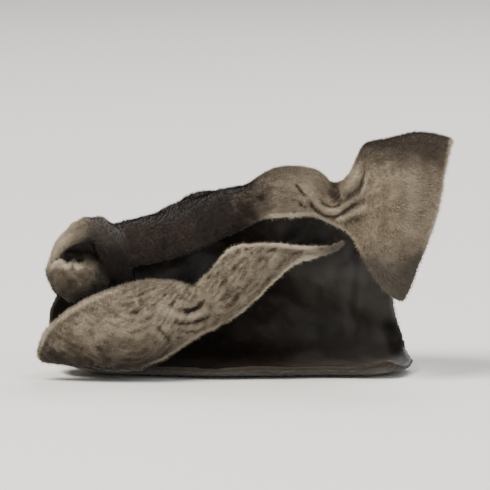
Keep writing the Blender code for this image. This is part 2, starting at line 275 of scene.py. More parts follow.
def ring_faces(rings: int, sides: int, flip: bool = False) -> list:
    """Join rings of points by four-sided faces, and close both ends at a point each.

    Args:
        rings: How many rings there are. Their points come one ring after another.
        sides: How many points a ring has. The two ends' points come after the last ring.
        flip: Whether the faces look the other way.

    Returns:
        The faces, as tuples of point numbers.
    """
    last, end = (rings - 1) * sides, rings * sides
    faces = []
    for k in range(sides):
        n = (k + 1) % sides
        faces += [(i + k, i + n, i + n + sides, i + k + sides) for i in range(0, last, sides)]
        faces += [(end, n, k), (end + 1, last + k, last + n)]
    return [(face[0], *face[:0:-1]) for face in faces] if flip else faces


def ball_ways(rows: int, columns: int) -> Array:
    """Give the directions of a ball's points, ring by ring from front to back, and then the two ends.

    Args:
        rows: How many rings there are.
        columns: How many points a ring has.

    Returns:
        One direction for each point.
    """
    fall = np.linspace(0, math.pi, rows + 2)[1:-1]
    turn = np.linspace(0, FULL_TURN, columns, endpoint=False)
    fall, turn = np.meshgrid(fall, turn, indexing="ij")
    way = np.stack([np.sin(fall) * np.cos(turn), -np.cos(fall), np.sin(fall) * np.sin(turn)], axis=2)
    return np.concatenate([way.reshape(-1, 3), [(0.0, -1.0, 0.0), (0.0, 1.0, 0.0)]])


# ---------------------------------------------------------------- the lobes of the membrane


@dataclass
class LobeSkin:
    """A closed surface of one lobe, with what each of its points knows about its place."""

    lobe: Lobe
    points: Array  # places, in millimetres
    faces: list  # tuples of point numbers
    place: Array  # millimetres along the lobe and, in two columns, round or across it
    outward: Array  # which way the felted side looks there
    edge: Array  # millimetres to the lobe's free edge
    grain: Array  # which way the lobe runs there

    @classmethod
    def whole(
        cls, lobe: Lobe, points: Array, faces: list, place: Array, outward: Array, grain: Array
    ) -> "LobeSkin":
        """Make the skin of a lobe without a free edge. One direction may be the grain of all of it."""
        edge = np.full(len(points), FAR_FROM_EDGE)
        return cls(lobe, points, faces, place, outward, edge, np.broadcast_to(grain, points.shape))


def close_sheet(lobe: Lobe, grid: Array, thick: Array, outer: float, rim_round: float) -> LobeSkin:
    """Wrap a closed skin with a rounded rim round the middle of a thin sheet.

    Args:
        lobe: Which lobe the sheet is.
        grid: The sheet's middle, as a grid of points.
        thick: Its thickness at each of them.
        outer: 1 where the grid's normals leave the felted side, and -1 where they leave the other.
        rim_round: How far the rim stands past the grid, in thicknesses.

    Returns:
        The closed skin.
    """
    rows, columns = grid.shape[:2]
    normal = grid_normals(grid)
    half = normal * thick[..., None] / 2
    out = np.zeros_like(grid)
    out[0] += grid[0] - grid[1]
    out[-1] += grid[-1] - grid[-2]
    out[:, 0] += grid[:, 0] - grid[:, 1]
    out[:, -1] += grid[:, -1] - grid[:, -2]
    out = unit(out)
    first = [(0, j) for j in range(columns)]
    right = [(i, columns - 1) for i in range(1, rows)]
    last = [(rows - 1, j) for j in range(columns - 2, -1, -1)]
    left = [(i, 0) for i in range(rows - 2, 0, -1)]
    around = np.array(first + right + last + left)
    at = (around[:, 0], around[:, 1])
    rim = grid[at] + out[at] * rim_round * thick[at][:, None]
    points = np.concatenate([(grid + half).reshape(-1, 3), (grid - half).reshape(-1, 3), rim])
    size = rows * columns
    corner = (np.arange(rows - 1)[:, None] * columns + np.arange(columns - 1)).ravel()
    front = np.column_stack([corner, corner + columns, corner + columns + 1, corner + 1])
    number = around[:, 0] * columns + around[:, 1]
    after = np.roll(number, -1)
    ring = 2 * size + np.arange(len(number))
    ring_after = np.roll(ring, -1)
    upper = np.column_stack([number, after, ring_after, ring])
    lower = np.column_stack([ring, ring_after, after + size, number + size])
    faces = np.concatenate([front, front[:, ::-1] + size, upper, lower])
    along, across = grid_lengths(grid)
    ends = np.minimum(along, along[-1] - along)
    edge = np.minimum(ends, np.minimum(across, across[:, -1:] - across)).ravel()
    facts = (np.dstack([along, across, 0 * across]), normal * outer, unit(np.gradient(grid, axis=0)))
    place, facing, grain = (np.concatenate([*[fact.reshape(-1, 3)] * 2, fact[at]]) for fact in facts)
    edge = np.concatenate([edge, edge, np.zeros(len(rim))])
    return LobeSkin(lobe, points, faces.tolist(), place, facing, edge, grain)


@dataclass(frozen=True)
class Wall:
    """The wall: one row of its section's sizes for each place along the ear."""

    thick: float = 1.0
    margin_thick: float = 0.36
    rim_round: float = 0.45  # how far the rim stands past the sheet's edge, in thicknesses
    # x, lip_y, lip_z, low_z, back_y, back_z, top_z, flap_y, edge_z
    stations: tuple = (
        (-15.8, 5.6, 2.0, 1.7, 8.4, 6.6, 6.8, 6.0, 5.6),  # left end, behind the pod's tip
        (-13.6, 5.0, 1.4, 0.8, 11.0, 8.4, 8.5, 5.8, 6.2),
        (-11.0, 4.8, 1.1, 0.2, 13.2, 9.9, 10.1, 5.4, 7.2),  # behind the curl
        (-8.0, 4.5, 0.8, 0.0, 14.8, 10.9, 11.3, 4.8, 8.5),
        (-4.0, 3.6, 0.7, 0.0, 15.8, 12.2, 12.7, 4.3, 9.4),
        (0.0, 3.2, 0.7, 0.0, 16.0, 13.6, 14.3, 4.0, 11.3),
        (3.2, 3.5, 0.7, 0.0, 15.6, 14.6, 15.6, 3.8, 12.5),  # hump of the band
        (5.6, 4.0, 0.7, 0.0, 15.1, 14.3, 15.2, 3.9, 12.5),
        (7.2, 4.1, 0.7, 0.0, 14.8, 13.7, 13.8, 4.1, 11.8),
        (8.1, 4.1, 0.7, 0.0, 14.7, 13.9, 13.6, 4.0, 11.3),  # the pinch between band and flare
        (8.6, 4.1, 0.7, 0.0, 14.6, 14.1, 14.1, 3.7, 11.0),
        (9.2, 4.0, 0.8, 0.0, 14.6, 14.5, 14.9, 3.2, 10.6),
        (9.6, 3.9, 0.8, 0.0, 14.5, 14.9, 16.0, 2.8, 10.2),
        (9.85, 3.9, 0.8, 0.0, 14.4, 15.3, 18.0, 2.5, 9.9),  # the flare's upper left corner
        (10.2, 3.8, 0.9, 0.0, 14.4, 15.7, 18.7, 2.2, 9.4),
        (11.0, 3.8, 1.0, 0.1, 14.2, 16.4, 18.8, 1.6, 7.9),
        (12.3, 4.0, 1.2, 0.2, 13.8, 16.9, 18.8, 1.2, 6.4),
        (13.4, 4.3, 1.4, 0.4, 13.3, 17.0, 18.8, 1.2, 6.1),  # lowest corner of the flare
        (15.0, 5.2, 2.1, 1.2, 12.3, 16.8, 18.5, 1.5, 7.2),
        (16.6, 6.4, 3.4, 2.4, 11.0, 16.2, 17.9, 2.4, 9.4),  # right end
    )
    # share of the way from the lip to the flap's edge, left x, right x
    sides: tuple = (
        (0.00, -12.6, 12.0),
        (0.06, -13.6, 13.1),
        (0.18, -14.2, 13.8),
        (0.34, -14.5, 12.8),
        (0.44, -14.4, 12.4),  # the low notch that lets the floor show behind the flare
        (0.56, -14.1, 14.0),
        (0.68, -13.2, 15.8),
        (0.78, -11.4, 16.5),
        (0.88, -9.8, 16.4),
        (0.94, -9.1, 15.8),
        (0.97, -8.9, 15.0),
        (1.00, -8.7, 13.0),
    )
    long: float = 31.0  # about how long the sheet is, and how far round it goes
    round: float = 44.0
    margin_reach: float = 4.0  # how far from the edge the sheet is thinner and ruffled
    ruffle_height: float = 0.30
    ruffle_length: float = 5.8
    swell_height: float = 0.50
    fold_height: float = 0.50  # of the folds that run from the stub
    fold_count: int = 5
    fold_reach: float = 7.0
    stub_draw: float = 1.1  # how far the wall is drawn out to the stub
    stub_spread: float = 3.6
    controls: int = 10  # control points of a section
    along: int = 160
    around: int = 230

    def section(self, sizes: Array) -> Array:
        """Place the control points of the wall's section, from the lower lip to the flap's edge.

        Args:
            sizes: One row of a station's sizes for each section.

        Returns:
            Ten control points (y, z) for each section.
        """
        lip_y, lip_z, low_z, back_y, back_z, top_z, flap_y, edge_z = sizes.T
        middle = (lip_y + back_y) / 2
        # the added millimetres and the shares round the section's turns
        control = (
            (lip_y, lip_z),
            (lip_y + 0.9, low_z),
            (middle, low_z),
            (back_y, low_z),
            (back_y + 0.6, low_z + 0.45 * back_z),
            (back_y - 0.5, 0.96 * back_z),
            (middle - 0.5, 0.4 * back_z + 0.6 * top_z),
            (flap_y + 1.0, top_z),
            (flap_y, top_z - 0.35 * (top_z - edge_z)),
            (flap_y + 0.2, edge_z),
        )
        return np.moveaxis(np.array(control), 2, 0)

    def even_shares(self) -> Array:
        """Find shares of the spline that stand evenly spaced round the wall's middle section.

        Returns:
            The shares, from 0 to 1.
        """
        dense = np.linspace(0, 1, 400)
        control = self.section(smooth_table(self.stations, np.zeros(1)))[0]
        section = spline_weights(self.controls, dense) @ control
        steps = np.linalg.norm(np.diff(section, axis=0), axis=1)
        length = np.concatenate([[0.0], np.cumsum(steps)])
        return np.interp(np.linspace(0, length[-1], self.around), length, dense)

    def middle(self) -> Array:
        """Lay out the middle of the wall as a grid, from left to right and from lip to flap.

        Returns:
            The grid's points.
        """
        shares = self.even_shares()
        left, right = smooth_table(self.sides, shares).T
        weights = spline_weights(self.controls, shares)
        grid = np.zeros((self.along, self.around, 3))
        far_left, far_right = left.min(), right.max()
        for i, u in enumerate(np.linspace(0, 1, self.along)):
            x = far_left + (far_right - far_left) * u
            x = x + (left - far_left) * (1 - u) ** 3 + (right - far_right) * u**3
            control = self.section(smooth_table(self.stations, x))
            grid[i, :, 0] = x
            grid[i, :, 1:] = np.einsum("jc,jca->ja", weights, control)
        return grid

    def skin(self) -> LobeSkin:
        """Ripple the wall's middle and wrap its skin round it.

        Returns:
            The closed skin.
        """
        grid = self.middle()
        u = np.linspace(0, 1, self.along)[:, None]
        v = np.linspace(0, 1, self.around)[None, :]
        beside = np.exp(-np.minimum(u, 1 - u) * self.long / self.margin_reach)
        above = np.exp(-np.minimum(v, 1 - v) * self.round / self.margin_reach)
        x, y, z = np.moveaxis(grid, 2, 0)
        wave_x = np.sin(FULL_TURN * x / self.ruffle_length)
        wave_z = np.sin(FULL_TURN * (z + 0.6 * y) / self.ruffle_length)
        ruffle = above * (1 - beside) * wave_x + beside * (1 - above) * wave_z
        # two crossing waves, both about 10.5 mm long
        swell = np.sin(0.52 * x + 0.31 * z) * np.sin(0.45 * z + 0.38 * y + 0.7)
        off_floor = np.clip(z / 3.0, 0, 1)
        from_stub = np.hypot(x - STUB_AXIS[0], z - STUB_AXIS[1])
        turn = np.arctan2(z - STUB_AXIS[1], x - STUB_AXIS[0])
        behind = np.clip((y - 10.0) / 4.0, 0, 1)
        ring = from_stub / self.fold_reach * np.exp(1 - from_stub / self.fold_reach)
        clear = np.clip((from_stub - STUB_RADIUS) / STUB_RADIUS, 0, 1)
        fold = behind * clear * ring * np.cos(self.fold_count * turn)
        drawn = behind * np.exp(-((from_stub / self.stub_spread) ** 2))
        inward = self.ruffle_height * ruffle + self.swell_height * swell + self.fold_height * fold
        inward = off_floor * inward - self.stub_draw * drawn
        grid = grid + grid_normals(grid) * inward[..., None]
        # the sheet is already at its thinnest a little way in from the edge
        near = np.minimum(1.0, 1.25 * np.maximum(beside, above))
        thick = self.thick - (self.thick - self.margin_thick) * near
        return close_sheet(Lobe.WALL, grid, thick, -1.0, self.rim_round)


@dataclass(frozen=True)
class Tongue:
    """The tongue across the mouth: one row of its outline for each place along it."""

    thick: float = 0.9
    margin_thick: float = 0.42
    margin_reach: float = 1.3
    least_thick: float = 0.34
    rim_round: float = 0.45
    # top_x, top_z, low_x, low_z, crest_y, camber in degrees
    stations: tuple = (
        (-15.5, 2.2, -15.3, 1.3, 3.4, 80.0),  # blunt left tip of the pod
        (-14.4, 3.5, -14.1, 1.2, 2.5, 150.0),
        (-12.7, 4.9, -12.3, 1.2, 1.6, 185.0),
        (-10.6, 6.0, -10.1, 0.9, 1.0, 200.0),  # widest part of the pod
        (-8.6, 6.7, -7.9, 0.8, 0.8, 205.0),
        (-6.5, 7.2, -6.1, 1.6, 0.9, 205.0),
        (-4.7, 7.1, -4.2, 3.0, 1.3, 205.0),
        (-3.2, 6.8, -2.3, 4.0, 2.0, 200.0),  # the pinched neck
        (-2.0, 7.8, -0.9, 4.6, 1.8, 160.0),
        (-0.8, 9.4, 0.4, 5.4, 1.3, 125.0),  # shoulder of the strip
        (0.6, 10.3, 1.7, 6.6, 1.1, 105.0),
        (2.7, 10.4, 3.2, 8.1, 1.3, 90.0),
        (4.6, 10.3, 4.8, 9.2, 1.7, 70.0),
        (6.5, 10.25, 6.5, 9.6, 2.3, 60.0),
        (7.6, 10.35, 7.7, 10.0, 2.8, 50.0),
        (8.25, 10.60, 8.3, 10.40, 3.0, 40.0),  # its free tip
    )
    along: int = 170
    across: int = 60

    def skin(self) -> LobeSkin:
        """Sweep the tongue's arched middle and wrap its skin round it.

        Returns:
            The closed skin.
        """
        share = np.linspace(0, 1, len(self.stations))
        rows = smooth_table(np.column_stack([share, self.stations]), np.linspace(0, 1, self.along))
        top_x, top_z, low_x, low_z, crest_y, camber = rows.T
        half = np.hypot(top_x - low_x, top_z - low_z) / 2
        bend = np.radians(camber)
        radius = half / np.sin(np.minimum(bend / 2, math.pi / 2))
        crest = np.column_stack([(top_x + low_x) / 2, crest_y, (top_z + low_z) / 2])
        wide = np.column_stack([top_x - low_x, 0 * half, top_z - low_z]) / (2 * half[:, None])
        angle = np.linspace(-0.5, 0.5, self.across)[None, :] * bend[:, None]
        grid = crest[:, None] + (radius[:, None] * np.sin(angle))[..., None] * wide[:, None]
        grid[..., 1] += radius[:, None] * (1 - np.cos(angle))
        across = np.linspace(-1, 1, self.across)[None, :]
        from_side = (1 - np.abs(across)) * radius[:, None] * np.maximum(bend[:, None] / 2, 0.6)
        margin = self.margin_thick / self.thick
        thin = margin + (1 - margin) * smooth_step(0.0, self.margin_reach, from_side)
        thick = np.maximum(np.minimum(self.thick, 1.1 * half)[:, None] * thin, self.least_thick)
        return close_sheet(Lobe.TONGUE, grid, thick, 1.0, self.rim_round)


@dataclass(frozen=True)
class Curl:
    """The hook at the left end of the flap, with oval sections along a bent path."""

    # x, y, z, half its thickness in the hook's plane, and along Y
    stations: tuple = (
        (-8.6, 8.0, 6.3, 0.60, 0.9),  # root, behind the pod
        (-9.1, 6.8, 7.7, 1.10, 1.6),
        (-9.4, 5.8, 9.2, 1.30, 1.9),  # against the flap's left margin
        (-10.0, 5.2, 10.5, 1.15, 2.0),
        (-11.3, 4.9, 11.35, 0.80, 2.0),  # top of the hook
        (-12.8, 4.8, 10.9, 0.50, 1.8),
        (-13.8, 5.2, 9.9, 0.34, 1.5),
        (-14.2, 5.9, 8.5, 0.30, 1.2),  # down behind the bud
        (-13.6, 6.0, 7.1, 0.32, 1.1),
    )
    torn_from: float = 5.6  # millimetres along the path where its inner edge is torn
    torn_to: float = 8.6
    tooth: float = 0.34  # how far a torn tooth juts
    tooth_long: float = 0.80
    tear_fade: float = 0.6
    end_round: float = 0.6  # how far the ends stand past the last sections, in half thicknesses
    along: int = 120
    around: int = 64

    def skin(self) -> LobeSkin:
        """Sweep the hook and close its two ends.

        Returns:
            The closed skin.
        """
        stations = np.array(self.stations)
        chords = np.linalg.norm(np.diff(stations[:, :3], axis=0), axis=1)
        length = np.concatenate([[0.0], np.cumsum(chords)])
        at = np.linspace(0, length[-1], self.along)
        rows = smooth_table(np.column_stack([length, stations]), at)
        centre, radial, deep = rows[:, :3], rows[:, 3], rows[:, 4]
        ahead = unit(np.gradient(centre, axis=0))
        away = unit(np.cross(ahead, (0.0, 1.0, 0.0)))
        back = np.cross(away, ahead)
        turn = np.linspace(0, FULL_TURN, self.around, endpoint=False)
        torn = smooth_step(self.torn_from, self.torn_from + self.tear_fade, at)
        torn = torn * smooth_step(self.torn_to, self.torn_to - self.tear_fade, at)
        jut = self.tooth * torn * np.abs(2 * ((at / self.tooth_long) % 1) - 1)
        inner_side = np.clip(-np.cos(turn), 0, 1) ** 3
        reach = radial[:, None] + jut[:, None] * inner_side[None, :]
        spoke = (reach * np.cos(turn))[..., None] * away[:, None]
        spoke = spoke + (deep[:, None] * np.sin(turn))[..., None] * back[:, None]
        ring = centre[:, None] + spoke
        past = ahead * radial[:, None] * self.end_round
        points = np.concatenate([ring.reshape(-1, 3), [centre[0] - past[0], centre[-1] + past[-1]]])
        round_it = (np.outer(deep, np.cos(turn)).ravel(), np.outer(deep, np.sin(turn)).ravel())
        place = np.column_stack([np.repeat(at, self.around), *round_it])
        place = np.concatenate([place, [(0.0, 0.0, 0.0), (at[-1], 0.0, 0.0)]])
        outward = np.concatenate([unit(spoke).reshape(-1, 3), [-ahead[0], ahead[-1]]])
        grain = np.concatenate([np.repeat(ahead, self.around, axis=0), [ahead[0], ahead[-1]]])
        return LobeSkin.whole(Lobe.CURL, points, ring_faces(self.along, self.around), place, outward, grain)


@dataclass(frozen=True)
class Bud:
    """The rolled tip of the curl: a lobe whose reach changes with the way it points."""

    centre: tuple = (-12.4, 5.0, 7.8)
    deep: float = 2.2
    # angle from +X towards +Z in degrees, and the reach that way
    reach: tuple = (
        (-17.0, 2.72),
        (-3.0, 2.25),
        (32.0, 1.89),
        (60.0, 1.90),
        (86.0, 1.60),
        (112.0, 1.80),
        (138.0, 2.30),
        (170.0, 2.40),
        (200.0, 2.18),
        (235.0, 2.08),
        (258.0, 2.20),
        (286.0, 1.85),
        (321.0, 2.06),
        (343.0, 2.72),
    )
    rolled_round: tuple = (0.35, 0.9, 0.25)
    dent_way: tuple = (0.15, -0.45, 0.88)
    dent_depth: float = 0.50
    dent_width: float = 0.62
    rows: int = 48
    columns: int = 80

    def skin(self) -> LobeSkin:
        """Shape the bud as a ball with a table of reaches and a dent on top.

        Returns:
            The closed skin.
        """
        way = ball_ways(self.rows, self.columns)
        first = self.reach[0][0]
        angle = (np.degrees(np.arctan2(way[:, 2], way[:, 0])) - first) % 360.0 + first
        reach = smooth_table(self.reach, angle)[:, 0]
        flat = np.hypot(way[:, 0], way[:, 2])
        reach = 1 / np.sqrt((flat / reach) ** 2 + (way[:, 1] / self.deep) ** 2)
        near = np.exp(-(((1 - way @ unit(np.array(self.dent_way))) / (self.dent_width**2 / 2)) ** 2))
        local = way * (reach * (1 - self.dent_depth * near))[:, None]
        faces = ring_faces(self.rows, self.columns)
        grain = unit(np.cross(way, self.rolled_round))
        return LobeSkin.whole(Lobe.BUD, np.array(self.centre) + local, faces, local, way, grain)


@dataclass(frozen=True)
class Stub:
    """The short stalk at the rear, with its ragged cut."""

    root_y: float = 17.25
    cut_y: float = 18.3
    cut_radius: float = 1.45
    # how its outline strays from a circle, in waves: share of the radius, waves round it, and start
    outline: tuple = ((0.12, 2, 0.5), (0.06, 3, 1.9), (0.05, 5, 0.0))
    root_flare: float = 2.2  # how quickly the root narrows
    rings: int = 24
    sides: int = 72

    def skin(self) -> LobeSkin:
        """Sweep the stalk and close its cut.

        Returns:
            The closed skin.
        """
        share = np.linspace(0, 1, self.rings)
        y = self.root_y + (self.cut_y - self.root_y) * share
        radius = self.cut_radius + (STUB_RADIUS - self.cut_radius) * (1 - share) ** self.root_flare
        turn = np.linspace(0, FULL_TURN, self.sides, endpoint=False)
        ragged = sum(part * np.cos(waves * turn + start) for part, waves, start in self.outline)
        wide = radius[:, None] * (1 + ragged)[None, :]
        x = STUB_AXIS[0] + wide * np.cos(turn)
        z = STUB_AXIS[1] + wide * np.sin(turn)
        ring = np.stack([x, np.repeat(y[:, None], self.sides, axis=1), z], axis=2)
        ends = [(STUB_AXIS[0], y[end], STUB_AXIS[1]) for end in (0, -1)]
        points = np.concatenate([ring.reshape(-1, 3), ends])
        way = np.stack([np.cos(turn), 0 * turn, np.sin(turn)], axis=1)
        outward = np.concatenate([np.tile(way, (self.rings, 1)), [(0.0, -1.0, 0.0), (0.0, 1.0, 0.0)]])
        place = points[:, [1, 0, 2]] - np.array([self.root_y, *STUB_AXIS])
        faces = ring_faces(self.rings, self.sides, flip=True)
        return LobeSkin.whole(Lobe.STUB, points, faces, place, outward, np.array((0.0, 1.0, 0.0)))


@dataclass(frozen=True)
class Roll:
    """The dark inside of the rolled margin, which closes the hook behind the bud."""

    centre: tuple = (-11.8, 6.3, 9.5)
    half: tuple = (2.2, 0.55, 1.9)
    rows: int = 20
    columns: int = 36

    def skin(self) -> LobeSkin:
        """Shape the roll's back as a flat pad that shows the smooth side.

        Returns:
            The closed skin.
        """
        way = ball_ways(self.rows, self.columns)
        local = way * np.array(self.half)
        faces = ring_faces(self.rows, self.columns)
        along_x = np.array((1.0, 0.0, 0.0))
        return LobeSkin.whole(Lobe.ROLL, np.array(self.centre) + local, faces, local, -way, along_x)


# ---------------------------------------------------------------- creases and ridges


@dataclass(frozen=True)
class Stroke:
    """One crease or ridge of the felted side, as the front shows it."""

    height: float  # millimetres, less than zero for a crease
    width: float  # millimetres from its middle to where about a third of it is left
    path: tuple  # x and z of its points, in millimetres

    def lift(self, x: Array, z: Array) -> Array:
        """Find how far the stroke lifts the skin.

        Args:
            x: Places across the front, in millimetres.
            z: Their heights.

        Returns:
            One height for each place.
        """
        share = np.linspace(0, 1, len(self.path))
        count = 6 * (len(self.path) - 1)  # six straight steps from point to point
        line = smooth_table(np.column_stack([share, self.path]), np.linspace(0, 1, count + 1))
        nearest = np.full(len(x), np.inf)
        at = np.zeros(len(x))
        for k in range(count):
            start, run = line[k], line[k + 1] - line[k]
            t = ((x - start[0]) * run[0] + (z - start[1]) * run[1]) / max(run @ run, 1e-9)
            t = np.clip(t, 0, 1)
            far = np.hypot(x - start[0] - t * run[0], z - start[1] - t * run[1])
            nearer = far < nearest
            nearest = np.where(nearer, far, nearest)
            at = np.where(nearer, (k + t) / count, at)
        # the stroke's height runs out over its first and last fifth, down to a quarter
        ends = smooth_step(0.0, 0.22, at) * smooth_step(0.0, 0.22, 1 - at)
        return self.height * np.exp(-((nearest / self.width) ** 2)) * (0.25 + 0.75 * ends)


# creases and ridges of the tongue: the navel, the hook-shaped crease at the neck, and the small ones;
# the finishes paint their creases dark as shade and their ridges pale as highlights
TONGUE_STROKES = (
    Stroke(0.08, 0.20, ((-7.73, 6.51), (-7.67, 5.81))),
    Stroke(0.09, 0.19, ((-7.14, 5.95), (-7.00, 4.83))),
    Stroke(0.06, 0.16, ((-6.67, 6.23), (-6.72, 4.97))),
    Stroke(-0.12, 0.26, ((-8.10, 5.42), (-7.50, 5.28))),
    Stroke(-0.08, 0.14, ((-7.40, 6.37), (-7.34, 5.53))),
    Stroke(-0.27, 0.20, ((-4.23, 5.48), (-3.67, 5.37), (-3.00, 5.56), (-2.50, 6.10))),
    Stroke(0.12, 0.32, ((-5.70, 5.76), (-4.87, 5.20), (-3.90, 4.86), (-3.06, 5.00), (-2.22, 5.36))),
    Stroke(-0.13, 0.20, ((-5.14, 4.55), (-3.90, 4.36), (-2.78, 4.58), (-1.67, 5.14))),
    Stroke(0.07, 0.20, ((-4.45, 4.03), (-3.34, 4.05), (-2.08, 4.47))),
    Stroke(-0.10, 0.16, ((-4.09, 3.69), (-3.06, 3.71))),
    Stroke(-0.08, 0.20, ((-4.78, 3.21), (-4.03, 3.21))),
    Stroke(0.07, 0.18, ((-6.67, 4.20), (-6.03, 3.57), (-5.56, 2.73))),
    Stroke(-0.09, 0.16, ((-6.23, 4.40), (-5.67, 3.68), (-5.00, 2.90))),
    Stroke(-0.06, 0.18, ((-7.06, 4.00), (-6.56, 3.30), (-6.23, 2.60))),
    Stroke(0.06, 0.16, ((-11.40, 2.87), (-10.98, 2.20), (-10.40, 1.50))),
    Stroke(-0.08, 0.16, ((-10.98, 2.87), (-10.40, 2.20), (-9.87, 1.50))),
    Stroke(-0.10, 0.34, ((-14.60, 2.45), (-13.76, 1.90), (-13.07, 2.18))),
    Stroke(-0.05, 0.22, ((-13.20, 3.70), (-12.20, 3.90), (-11.40, 3.70))),
    Stroke(-0.05, 0.22, ((-8.34, 4.10), (-7.92, 3.30), (-7.78, 2.45))),
    Stroke(-0.05, 0.20, ((-6.67, 7.30), (-5.84, 6.90), (-5.28, 6.20))),
    Stroke(-0.05, 0.20, ((-4.73, 7.20), (-4.17, 6.37), (-3.30, 5.80))),
    Stroke(-0.05, 0.20, ((-2.20, 6.09), (-1.10, 7.62), (0.00, 8.88), (1.40, 9.58))),
    Stroke(-0.04, 0.20, ((-0.56, 5.53), (0.56, 6.93), (1.95, 8.18), (3.60, 9.16))),
    Stroke(-0.06, 0.13, ((-0.14, 9.16), (-0.14, 8.04))),
    # ridges on the pod's upper-left outline, the strip's left margin and the pod's lower outline, painted
    # pale as highlights
    Stroke(0.20, 0.15, ((-15.45, 1.60), (-14.65, 3.40), (-12.90, 5.05), (-10.75, 6.20), (-8.70, 6.95))),
    Stroke(0.18, 0.13, ((-3.10, 6.90), (-2.20, 7.95), (-1.05, 9.50), (0.40, 10.45))),
    Stroke(0.12, 0.13, ((-7.40, 0.95), (-5.80, 1.60), (-4.05, 2.85), (-2.20, 3.85), (-0.70, 4.55))),
)
# the bud's torn pale edge, and the slit above it, which the finishes paint black as its shade
BUD_STROKES = (
    Stroke(0.28, 0.14, ((-14.45, 8.20), (-14.00, 8.78), (-13.50, 9.05), (-13.10, 8.55),
                        (-12.68, 9.02), (-12.28, 8.50), (-11.50, 8.80))),
    Stroke(-0.46, 0.24, ((-14.10, 9.30), (-13.50, 9.48), (-13.10, 8.98), (-12.68, 9.48),
                         (-12.28, 8.94), (-11.80, 9.46), (-10.90, 9.70))),
    # a broad crease under the hook, painted dark as the hook's shade
    Stroke(-0.30, 0.42, ((-13.70, 9.75), (-12.60, 9.80), (-11.40, 9.80), (-10.30, 9.30))),
    Stroke(-0.07, 0.16, ((-13.60, 8.20), (-13.00, 7.60), (-12.60, 6.80))),
    Stroke(0.06, 0.16, ((-12.90, 8.30), (-12.30, 7.60), (-11.90, 6.90))),
)
# the folds that hang from the pinch between band and flare, and the soft ones of the flare; the
# finishes paint their creases dark as shade and their ridges pale as highlights
WALL_STROKES = (
    Stroke(-0.15, 0.13, ((4.62, 15.10), (4.95, 14.60), (5.40, 14.00))),
    Stroke(-0.13, 0.12, ((4.75, 13.65), (5.10, 13.30), (5.55, 13.05))),
    Stroke(-0.18, 0.15, ((5.28, 12.39), (5.98, 11.97))),
    Stroke(-0.15, 0.17, ((5.56, 14.20), (5.84, 13.37), (6.67, 12.67), (7.50, 12.39),
                         (8.34, 12.67), (9.17, 13.37), (9.73, 13.98))),
    Stroke(-0.12, 0.14, ((6.25, 14.20), (6.67, 13.42), (7.37, 13.09),
                         (8.20, 13.30), (8.90, 13.90), (9.30, 14.80))),
    Stroke(0.15, 0.17, ((5.90, 14.20), (6.28, 13.30), (7.03, 12.83),
                        (7.78, 12.75), (8.60, 13.20), (9.45, 14.10))),
    Stroke(0.15, 0.20, ((7.20, 12.10), (8.30, 12.30), (9.45, 12.95), (10.30, 13.70))),
    Stroke(-0.14, 0.16, ((9.87, 15.40), (9.45, 14.30), (8.76, 13.30), (8.06, 12.75))),
    Stroke(0.10, 0.18, ((9.45, 16.40), (9.20, 15.20), (8.70, 14.20))),
    Stroke(-0.06, 0.60, ((11.70, 16.00), (11.40, 12.70), (11.10, 9.90))),
    Stroke(0.07, 0.70, ((13.35, 17.70), (13.50, 14.10), (13.35, 9.90))),
    Stroke(-0.05, 0.50, ((14.90, 16.10), (14.80, 12.70))),
    Stroke(-0.07, 0.22, ((9.60, 17.95), (11.40, 18.10), (13.50, 17.95))),
    Stroke(-0.05, 0.20, ((10.90, 17.60), (11.00, 16.40), (11.10, 15.60))),
    Stroke(-0.04, 0.18, ((12.20, 17.70), (12.10, 16.60), (12.20, 15.90))),
    Stroke(0.12, 0.16, ((9.75, 17.20), (9.40, 15.80), (8.85, 14.70), (8.10, 14.10))),
    Stroke(0.10, 0.14, ((10.30, 16.20), (9.95, 15.00), (9.30, 13.95), (8.50, 13.30))),
    Stroke(-0.10, 0.12, ((10.05, 16.60), (9.68, 15.30), (9.05, 14.25), (8.35, 13.65))),
)
STROKES = {Lobe.TONGUE: TONGUE_STROKES, Lobe.BUD: BUD_STROKES, Lobe.WALL: WALL_STROKES}


# ---------------------------------------------------------------- finishes


@dataclass(frozen=True)
class Layer:
    """One layer of a finish's colour, steered by a texture of the finish or an attribute of the mesh."""

    source: str
    low: float  # the source's value where the layer starts to show
    high: float  # its value where the layer shows most
    colour: str | Socket
    most: float = 1.0  # the layer's largest share


